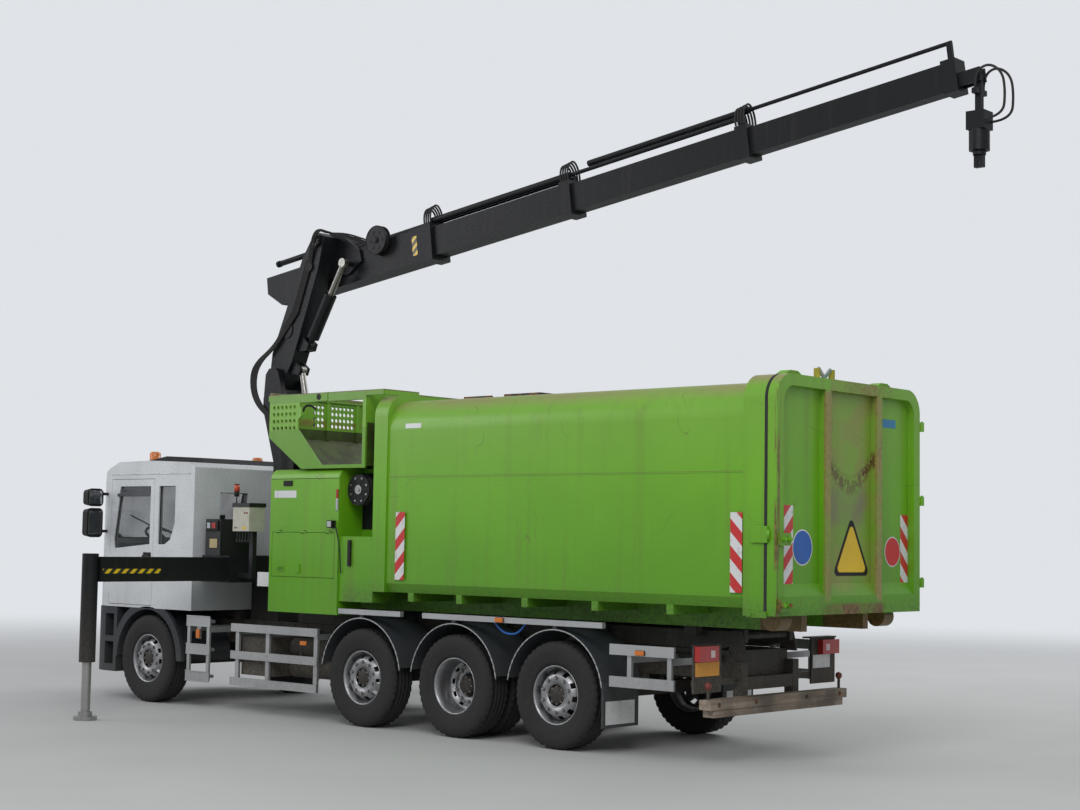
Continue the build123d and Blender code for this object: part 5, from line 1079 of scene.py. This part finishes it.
for number, (body, mouth, top) in enumerate((
    ("outer_boom", 1.65, 0.2), ("boom_extension_1", 3.76, 0.17), ("boom_extension_2", 6.1, 0.153),
)):
    for strand in range(4):
        x = mouth - 0.132 + 0.034 * strand
        route = [on_boom(x + step, left, top + up) for step, left, up in (
            (0, -0.1, 0.03), (0.004, -0.11, 0.13), (0, -0.04, 0.24 + 0.012 * strand), (-0.004, 0.06, 0.22),
            (0, 0.11, 0.1), (0, 0.1, 0.03),
        )]
        tube(f"collar_hose_{number}_{strand}", route, 0.011, body)

elbow = at(3.5, 0.165, 5.58)
bolts("elbow_bolts", "outer_boom", [(elbow + spoke(angle, 0.05), (0, 1, 0)) for angle in turns(6)], 0.009)
ring_outs = [Vector((cos(angle), sin(angle), 0)) for angle in turns(18)]
bolts("slew_ring_bolts", "truck", [(at(3.86, 0, 1.82) + out * 0.29, out) for out in ring_outs], 0.011)


@piece("outer_boom", "crane_black", film_yellow)
def film_boom(work):
    corners = ((1.32, -0.11), (1.4, -0.11), (1.4, 0.12), (1.32, 0.12))
    for side in (1, -1):
        outer, inner = ([on_boom(along, side * y, up) for along, up in corners] for y in (0.1322, 0.1312))
        prism(work, outer, inner)


@piece("outer_boom", "hose_rubber", hose_rubber, paint_black)
def reel_hose(work):
    """Turns of hose on the boom's reel, its flange's rim, its hub and six studs."""
    for turn in range(3):
        for layer in range(3):
            ring(work, on_boom(REEL, 0.173 + 0.017 * turn, REEL_UP), 0.116 + 0.016 * layer, 0.0085)
    flange = on_boom(REEL, 0.231, REEL_UP)
    ring(work, flange, 0.168, 0.005)
    rod(work, flange, flange + Vector((0, 0.012, 0)), 0.04, 24)
    for angle in turns(6):
        rod(work, flange + spoke(angle, 0.1, -0.001), flange + spoke(angle, 0.1, 0.004), 0.022, 18, 1)


@piece("outer_boom", "crane_black", paint_black)
def tail_ram(work):
    """The first ram's rear part, which sticks out over the boom's tail."""
    for start, end, low, radius, segments in (
        (-1.26, -0.45, RAM_UP, 0.036, 24), (-1.275, -1.23, RAM_UP, 0.042, 24), (-0.49, -0.49, 0.24, 0.03, 16),
    ):
        rod(work, on_boom(start, RAM_LEFT, low), on_boom(end, RAM_LEFT, RAM_UP), radius, segments)


@piece("truck", "lamp_lens", lens_flame, plastic_black, lens_red, lens_clear, plastic_black, plate_sand)
def control_lamps(work):
    rod(work, at(3.62, 1.15, 2.384), at(3.62, 1.15, 2.47), 0.007, 10, 1)
    flame = ((2.46, 2.52, 0.03, 1), (2.52, 2.595, 0.033, 0), (2.595, 2.606, 0.033, 1))
    for z0, z1, radius, material in flame:
        rod(work, at(3.62, 1.15, z0), at(3.62, 1.15, z1), radius, 28, material)
    slabs(work, (
        (3.925, 4.145, 1.15, 1.172, 2.06, 2.185, 0.012, 1),
        (3.965, 4.035, 1.17, 1.176, 2.09, 2.155, 0.003, 2),
        (4.065, 4.12, 1.17, 1.176, 2.09, 2.155, 0.003, 3),
        (3.94, 4.1, 1.1503, 1.154, 1.85, 1.98, 0.001, 4),
        (3.95, 4.09, 1.1538, 1.1548, 1.862, 1.968, 0.0, 5),
    ))


@piece("truck", "lamp_lens", knob_red, plastic_black, film_sign_yellow)
def control_marks(work):
    for x in (3.39, 3.43):
        rod(work, at(x, 1.1795, 2.27), at(x, 1.185, 2.27), 0.011, 16, 0)
    for x in (3.6, 3.57):
        rod(work, at(x, 1.1795, 2.1), at(x, 1.1825, 2.1), 0.009, 12, 1)
    slab(work, at(3.4, 1.1797, 2.085), at(3.47, 1.1812, 2.11), 0.0, 2)


print("crane dressed")

# %% [markdown]
# The two hoses at the boom's tip hang free. Each is a smooth spline with its route's points as control
# points, and takes the place of the plain tube that CAD has for it.

# %% Tip hoses
TIP = on_boom(8.6, 0, -0.06)
HOSE_ROUTE = (
    (0.0, -0.1197), (0.0, 0.02), (-0.13, 0.09), (-0.27, -0.01), (-0.3, -0.19), (-0.28, -0.42),
    (-0.0903, -0.42),
)
for side, hand in SIDES:
    points = [Vector((TIP.x + x, BOOM_Y + side * 0.082, TIP.z + z)) for x, z in HOSE_ROUTE]
    hose = tube(f"tip_hose_{hand}", points, 0.012, "tip_link")
    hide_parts("tip_hoses")
print("tip hoses laid")

# %% [markdown]
# The cable reel stands in the gap between the machine cabinet and the press housing.

# %% Cable reel
@piece("load_body", "hose_rubber", hose_rubber, silver_rim)
def cable_reel(work):
    """Turns of cable, the flange's rings and spokes, and the hub with its bolts."""
    middle = at(1.56, 0, 2.527)
    for layer in range(3):
        for turn in range(4):
            ring(work, middle + Vector((0, 1.066 + 0.0155 * turn, 0)), 0.128 + 0.015 * layer, 0.0078)
    for y0, y1, radius, segments in ((1.149, 1.158, 0.05, 28), (1.158, 1.166, 0.022, 6)):
        rod(work, middle + Vector((0, y0, 0)), middle + Vector((0, y1, 0)), radius, segments, 1)
    for angle in turns(8, 0.5):
        rod(work, middle + spoke(angle, 0.13, 1.149), middle + spoke(angle, 0.13, 1.154), 0.012, 12, 1)
    ring(work, middle + Vector((0, 1.15, 0)), 0.166, 0.004)
    for radius in (0.07, 0.098, 0.126):
        ring(work, middle + Vector((0, 1.151, 0)), radius, 0.003)
    for angle in turns(6):
        rod(work, middle + spoke(angle, 0.05, 1.1515), middle + spoke(angle, 0.16, 1.1515), 0.004, 8)


# %% [markdown]
# The hopper is sheet steel with round windows in its far side and front walls, and small ones beside its
# mouth. Sheets with holes are filled between their outlines and given a thickness.

# %% Hopper
WALL_Y, SHEET = 1.225, 0.02
TOP, REAR, FRONT = 3.6, 1.37, 2.96


def pierced(work, place, outline, holes, depth):
    """A sheet with holes: outlines are (a, b) pairs that place turns into points."""
    edges = []
    for loop in (outline, *holes):
        verts = [work.verts.new(place(a, b)) for a, b in loop]
        edges += [work.edges.new((vert, verts[k - 1])) for k, vert in enumerate(verts)]
    filled = bmesh.ops.triangle_fill(work, use_beauty=True, edges=edges)["geom"]
    faces = [item for item in filled if isinstance(item, bmesh.types.BMFace)]
    grown = bmesh.ops.extrude_face_region(work, geom=faces)["geom"]
    verts = [item for item in grown if isinstance(item, bmesh.types.BMVert)]
    bmesh.ops.translate(work, verts=verts, vec=Vector(depth))


def round_holes(across, upward, radius):
    """Outlines of round holes at every pair of the two lists."""
    circle = [(radius * cos(angle), radius * sin(angle)) for angle in turns(12)]
    return [[(a + u, b + v) for u, v in circle] for a in across for b in upward]


def steps(start, pitch, count):
    """So many numbers from start on, one pitch apart."""
    return [start + pitch * k for k in range(count)]


@piece("load_body", "lime_green", paint_hopper, paint_black)
def hopper_sheets(work):
    """The open hopper: side sheets with windows, front wall with two groups of windows, slope and floor."""
    wall = [(FRONT, TOP), (REAR, TOP), (REAR, 2.76), (2.4, 2.76), (FRONT, 3.12)]
    mouth = [(1.42, 3.5), (2.448, 3.5), (2.448, 3.455), (2.42, 3.44), (2.42, 3.35), (2.472, 3.31),
             (2.472, 3.204), (2.07, 2.8), (1.42, 2.8)]
    near_windows = round_holes(steps(2.535, 0.07, 6), steps(3.22, 0.078, 4), 0.023)
    pierced(work, lambda a, b: at(a, WALL_Y, b), wall, [mouth, *near_windows], (0, SHEET, 0))
    far_columns = steps(2.538, 0.078, 5) + steps(2.244, 0.078, 3) + steps(1.67, 0.078, 6)
    far_windows = round_holes(far_columns, steps(3.318, 0.078, 3), 0.026)
    pierced(work, lambda a, b: at(a, -WALL_Y - SHEET, b), wall, far_windows, (0, SHEET, 0))
    front = [(WALL_Y, 3.12), (WALL_Y, TOP), (-WALL_Y, TOP), (-WALL_Y, 3.12)]
    front_columns = steps(0.46, 0.062, 3) + steps(-0.007, 0.062, 6)
    front_windows = round_holes(front_columns, steps(3.302, 0.072, 4), 0.024)
    pierced(work, lambda a, b: at(2.94, a, b), front, front_windows, (SHEET, 0, 0))
    slope = [(2.94, 3.13), (FRONT, 3.12), (2.4, 2.76), (2.392, 2.78)]
    pierced(work, lambda a, b: at(a, -WALL_Y, b), slope, [], (0, 2 * WALL_Y, 0))
    floor_edge = [(REAR, -WALL_Y), (REAR, WALL_Y), (2.4, WALL_Y), (2.4, -WALL_Y)]
    press_mouth = [(1.49, -0.84), (1.49, 0.84), (2.32, 0.84), (2.32, -0.84)]
    pierced(work, lambda a, b: at(a, b, 2.76), floor_edge, [press_mouth], (0, 0, SHEET))
    bars = [
        (REAR, REAR + SHEET, -WALL_Y, WALL_Y, 2.76, TOP),
        (REAR + SHEET, 2.94, 1.185, WALL_Y, 3.5, TOP, 0.004),
        (FRONT, 2.985, -WALL_Y - SHEET, WALL_Y + SHEET, 3.53, TOP, 0.004),
        (2.94, 2.985, -WALL_Y - SHEET, WALL_Y, TOP, 3.63, 0.003),
        (2.915, 2.94, -0.4, 1.18, 3.575, 3.59, 0.002),
        (2.905, 2.94, -0.322, -0.19, 3.425, 3.54, 0.004, 1),
        (2.88, 2.94, -0.33, -0.2, 3.548, 3.6, 0.004),
        (1.985, 2.175, 1.2452, 1.2515, 3.505, 3.597, 0.001),
    ]
    for side in (1, -1):
        bars.append((1.1, 1.372, side * WALL_Y, side * (WALL_Y + SHEET), 3.54, 3.6, 0.003))
        bars.append((1.1, 1.12, side * 0.71, side * WALL_Y, 3.54, 3.6, 0.003))
    bars += [(2.96, 2.985, y - 0.03, y + 0.03, 3.15, 3.53, 0.003) for y in (-0.62, -0.1, 0.383, 0.9)]
    bars += [(2.925, 2.94, y - 0.024, y + 0.024, 3.13, 3.6, 0.002) for y in (-0.08, 0.383)]
    slabs(work, bars)
    rod(work, at(2.125, 1.251, 3.553), at(2.125, 1.257, 3.553), 0.033, 24, 1)


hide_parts("press_hopper")
hopper_route = ((2.44, 1.2, 3.4), (2.43, 1.2, 3.45), (2.37, 1.19, 3.475), (2.3, 1.17, 3.455),
                (2.28, 1.15, 3.42))
tube("hopper_hose", [at(*place) for place in hopper_route], 0.013, "load_body")
print("hopper made")

# %% [markdown]
# The rest of the machine end: a plate behind the cable reel, the work lamp with its lead, the narrow lamp
# above it, vents with slats and blank labels.

# %% Machine cabinet
@piece("load_body", "black_plastic", paint_black)
def reel_back(work):
    """A dark plate behind the reel, held off the housing, with a raised rim."""
    wall, _ = touch("press_housing", (1.56, 3.0, 2.2), (0, -1, 0))
    slab(work, at(1.385, wall.y, 2.1), at(1.735, wall.y + 0.006, 2.715), 0.002)
    slab(work, at(1.385, wall.y + 0.006, 2.1), at(1.4, wall.y + 0.02, 2.715), 0.002)
    slab(work, at(1.72, wall.y + 0.006, 2.1), at(1.735, wall.y + 0.02, 2.715), 0.002)


@piece("load_body", "lamp_lens", lens_clear, lens_red)
def work_lamp_lenses(work):
    slabs(work, (
        (1.81, 1.87, 1.31, 1.316, 2.12, 2.18, 0.003), (1.765, 1.795, SKIN_Y, 1.264, 2.3, 2.43, 0.004),
        (1.765, 1.795, SKIN_Y, 1.264, 2.432, 2.53, 0.004, 1),
    ))


lead_route = ((1.815, 1.262, 2.13), (1.785, 1.264, 2.125), (1.768, 1.262, 2.06), (1.74, 1.26, 1.98),
              (1.71, 1.256, 1.8), (1.71, 1.244, 1.62))
tube("work_lamp_lead", [at(*place) for place in lead_route], 0.006, "load_body")


@piece("load_body", "black_plastic", plastic_black)
def cabinet_trim(work):
    for z in (2.578, 2.592, 2.606, 2.62):
        slab(work, at(2.54, 1.2575, z), at(2.66, 1.2605, z + 0.006), 0.001, 0)
    for z in (1.634, 1.648, 1.662):
        slab(work, at(2.655, 1.2575, z), at(2.745, 1.2595, z + 0.005), 0.001, 0)
    for x0, x1, z0, z1 in ((1.752, 2.893, 2.648, 2.654), (1.752, 1.7555, 1.2, 2.7)):
        slab(work, at(x0, 1.2495, z0), at(x1, 1.2507, z1))


@piece("load_body", "lime_green", film_white)
def blank_labels(work):
    slab(work, at(2.46, SKIN_Y, 2.44), at(2.83, 1.2512, 2.52))
    corners = [touch("container_body", (x, 3.0, z), (0, -1, 0))[0] for x, z in
               ((0.54, 3.165), (0.77, 3.165), (0.77, 3.215), (0.54, 3.215))]
    prism(work, *([corner + Vector((0, lift, 0)) for corner in corners] for lift in (0.003, -0.001)))
    slab(work, at(2.965, 1.15, 1.44), at(3.205, 1.155, 1.6))


print("machine end dressed")

# %% [markdown]
# The door closes on a rubber seal. A broad black strip round the rear frame stands for the seal and for the
# painted shade in the gap between door and frame. Latches hold the door at the left edge, with bolts on their
# plates.

# %% Door seal, latches and latch bolts
def arch(half, bottom, top, corner, count=10):
    """The frame's outline: a flat bottom and round top corners."""
    points = [(half, bottom)]
    for side, start in ((1, 0), (-1, pi / 2)):
        for k in range(count + 1):
            angle = start + pi / 2 * k / count
            points.append((side * (half - corner) + corner * cos(angle), top - corner + corner * sin(angle)))
    return [*points, (-half, bottom)]


@piece("load_body", "hose_rubber", hose_rubber)
def door_seal_and_gap_shade(work):
    # painted shade: the strip is far broader than the seal, so its black also stands for the shade in the gap
    outer, inner = arch(1.2515, 1.385, 3.5365, 0.2315), arch(1.247, 1.385, 3.532, 0.227)
    rings = [
        [at(-3.826, y, z), at(-3.794, y, z), at(-3.794, v, w), at(-3.826, v, w)]
        for (y, z), (v, w) in zip(outer, inner)
    ]
    rows = loft(work, rings, smooth=False)
    work.faces.new(rows[0])
    work.faces.new(rows[-1][::-1])


latch_spots = [(at(-3.975, y, z), (-1, 0, 0)) for y in (1.1, 1.19) for z in (1.475, 2.055)]
bolts("latch_bolts", "rear_door", latch_spots, 0.014, rusty_lime)


@piece("load_body", "lime_green", paint_lime)
def side_latch(work):
    slab(work, at(-3.84, SKIN_Y, 2.02), at(-3.66, 1.272, 2.17), 0.006)
    rod(work, at(-3.845, 1.262, 2.05), at(-3.845, 1.262, 2.14), 0.016)
    slab(work, at(-3.83, SKIN_Y, 1.36), at(-3.62, 1.27, 1.42), 0.006)
    rod(work, at(-3.66, 1.262, 1.39), at(-3.66, 1.285, 1.39), 0.02)


print("door dressed")

# %% [markdown]
# Under the load: brake chambers on the axles, air hoses, bolts along the frame, the mudguards' pale
# edges, white mud flaps, blank number plates, a blue strap, and knobs on the rear levers.

# %% Chassis trim
@piece("truck", "chassis_paint", paint_chassis)
def brake_chambers(work):
    drums = ((-0.07, -0.06, 0.06), (-0.06, -0.005, 0.078), (-0.005, 0.005, 0.086), (0.005, 0.06, 0.078),
             (0.06, 0.075, 0.05))
    for x in AXLES.values():
        for side in (1, -1):
            middle = at(x + 0.17, side * 0.42, 0.64)
            for start, end, radius in drums:
                rod(work, middle + Vector((start, 0, 0)), middle + Vector((end, 0, 0)), radius, 24)
            rod(work, middle + Vector((-0.16, 0, -0.02)), middle + Vector((-0.06, 0, 0)), 0.012, 10)


hose_stations = (-2.8, -2.2, -1.6, -0.9, -0.3, 0.4, 1.0, 1.7, 2.1)
for number, (y, z) in enumerate(((0.46, 0.9), (0.475, 0.93), (0.46, 0.96))):
    for side in (1, -1):
        points = [
            at(x, side * (y + 0.004 * sin(3 * x + number)), z + 0.008 * sin(4.1 * x + 2 * number))
            for x in hose_stations
        ]
        tube(f"frame_hose_{number}_{side + 1}", points, 0.009, "truck")

frame_spots = []
for side in (1, -1):
    for x in [-2.85 + 0.24 * k for k in range(36)]:
        place, out = touch("chassis_frame", (x, side * 2.0, 0.98), (0, -side, 0))
        if place is not None and abs(out.y) > 0.9:
            frame_spots.append((place, out))
bolts("frame_bolts", "truck", frame_spots, 0.012, bolt_dark)


@piece("truck", "grey_plastic", edge_grey)
def guard_edges(work):
    for x in (1.37, 0.0, -1.36):
        for side in (1, -1):
            middle, angles = at(x, 0, 0.545), [radians(8 + 164 * k / 24) for k in range(25)]
            chain(work, [middle + spoke(angle, 0.606, side * 1.2455) for angle in angles], 0.006)


@piece("truck", "grey_plastic", film_white)
def flap_sheets(work):
    for side in (1, -1):
        slab(work, at(-1.9775, side * 0.76, 0.28), at(-1.9762, side * 1.2, 0.5))


@piece("truck", "lamp_lens", plate_orange, film_white)
def blank_plates(work):
    slab(work, at(-3.004, 0.805, 0.793), at(-3.0012, 1.175, 0.922))
    slab(work, at(-3.004, -1.085, 0.793), at(-3.0012, -0.775, 0.922), 0.0, 1)
    place, _ = touch("front_bumper", (9.0, 0.0, 0.67), (-1, 0, 0))
    slab(work, (place.x, -0.26, 0.61), (place.x + 0.006, 0.26, 0.72), 0.002, 0)


strap = [at(-0.5, 1.17, 1.19), at(-0.58, 1.16, 1.1), at(-0.72, 1.16, 1.07), at(-0.84, 1.16, 1.1),
         at(-0.92, 1.17, 1.19)]
tube("blue_strap", strap, 0.011, "truck", "lime_green", film_blue)


@piece("truck", "lamp_lens", knob_red)
def rear_knobs(work):
    profile = ((0.016, 0.68), (0.0295, 0.695), (0.0335, 0.715), (0.0285, 0.737), (0.001, 0.75))
    for side in (1, -1):
        lathe(work, at(-3.095, side * 1.105, 0), 2, profile, 28)


beam_spots = [(at(-3.1605, y, 0.545), (-1, 0, 0)) for y in (-1.02, -0.43, 0.43, 1.02)]
bolts("beam_bolts", "truck", beam_spots, 0.014, rusty_steel)
print("chassis trimmed")

# %% [markdown]
# A photographer's setting: a pale flat floor that fades into the sky's colour far from the lorry, a broad
# soft light from above on the camera's side, a weaker one from behind, and a pale sky. The floor and the
# sky's own colour make the white around the lorry, so the lamps never have to be strong enough to bleach the
# cab.

# %% Floor, sky and lamps
SKY_COLOUR = (0.93, 0.96, 1.0, 1)
SKY_LIGHT, SKY_SEEN = 0.56, 0.8
bpy.ops.mesh.primitive_plane_add(size=400, location=(DRIVE_X, 0, -0.001))
floor = bpy.context.object
floor.name = "studio_floor"
ground = Finish("studio_floor", Roughness=0.9)
speckle = ground.noise(0.6, 2).between(0.3, 0.7)
ground.set(Base_Color=ground.mix(speckle, (0.5, 0.5, 0.495), (0.48, 0.48, 0.475)))
away = (ground.x * ground.x + ground.y * ground.y).root().between(9, 30)
seen_straight = ground.node("ShaderNodeLightPath").socket("Is Camera Ray")
far_floor = ground.node("ShaderNodeEmission", Color=SKY_COLOUR, Strength=SKY_SEEN)
fade = ground.node("ShaderNodeMixShader", places=(away * seen_straight,))
paths = ground.tree
paths.links.new(ground.shader.outputs[0], fade.made.inputs[1])
paths.links.new(far_floor.made.outputs[0], fade.made.inputs[2])
paths.links.new(fade.made.outputs[0], paths.nodes["Material Output"].inputs["Surface"])
floor.data.materials.append(ground.material)

bpy.context.scene.view_settings.view_transform = "Standard"
world = bpy.data.worlds.new("studio_sky")
world.use_nodes = True
bpy.context.scene.world = world
tree = world.node_tree
sky = tree.nodes["Background"]
rays, seen, mixed = (tree.nodes.new("ShaderNode" + kind) for kind in ("LightPath", "Math", "Mix"))
seen.operation = "MAXIMUM"
for place, ray in enumerate(("Is Camera Ray", "Is Transmission Ray")):
    tree.links.new(rays.outputs[ray], seen.inputs[place])
mixed.data_type = "FLOAT"
for place, value in ((0, Value(tree, seen.outputs[0])), (2, SKY_LIGHT), (3, SKY_SEEN)):
    put(tree, mixed.inputs[place], value)
put(tree, sky.inputs["Strength"], Value(tree, mixed.outputs[0]))
put(tree, sky.inputs["Color"], SKY_COLOUR)


def softbox(name, place, target, size, power):
    """A square area lamp that faces a point."""
    light = bpy.data.lights.new(name, "AREA")
    light.size = size
    light.energy = power
    lamp = stand(name, light)
    lamp.location = place
    lamp.rotation_euler = (Vector(target) - Vector(place)).to_track_quat("-Z", "Y").to_euler()


softbox("key_softbox", (DRIVE_X - 9, 13, 13), (DRIVE_X, 0, 2), 9, 1250)
softbox("fill_softbox", (DRIVE_X + 13, 10, 8), (DRIVE_X + 2, 0, 2), 8, 450)
softbox("back_softbox", (DRIVE_X, -14, 12), (DRIVE_X, 0, 2), 9, 900)
print("studio ready")
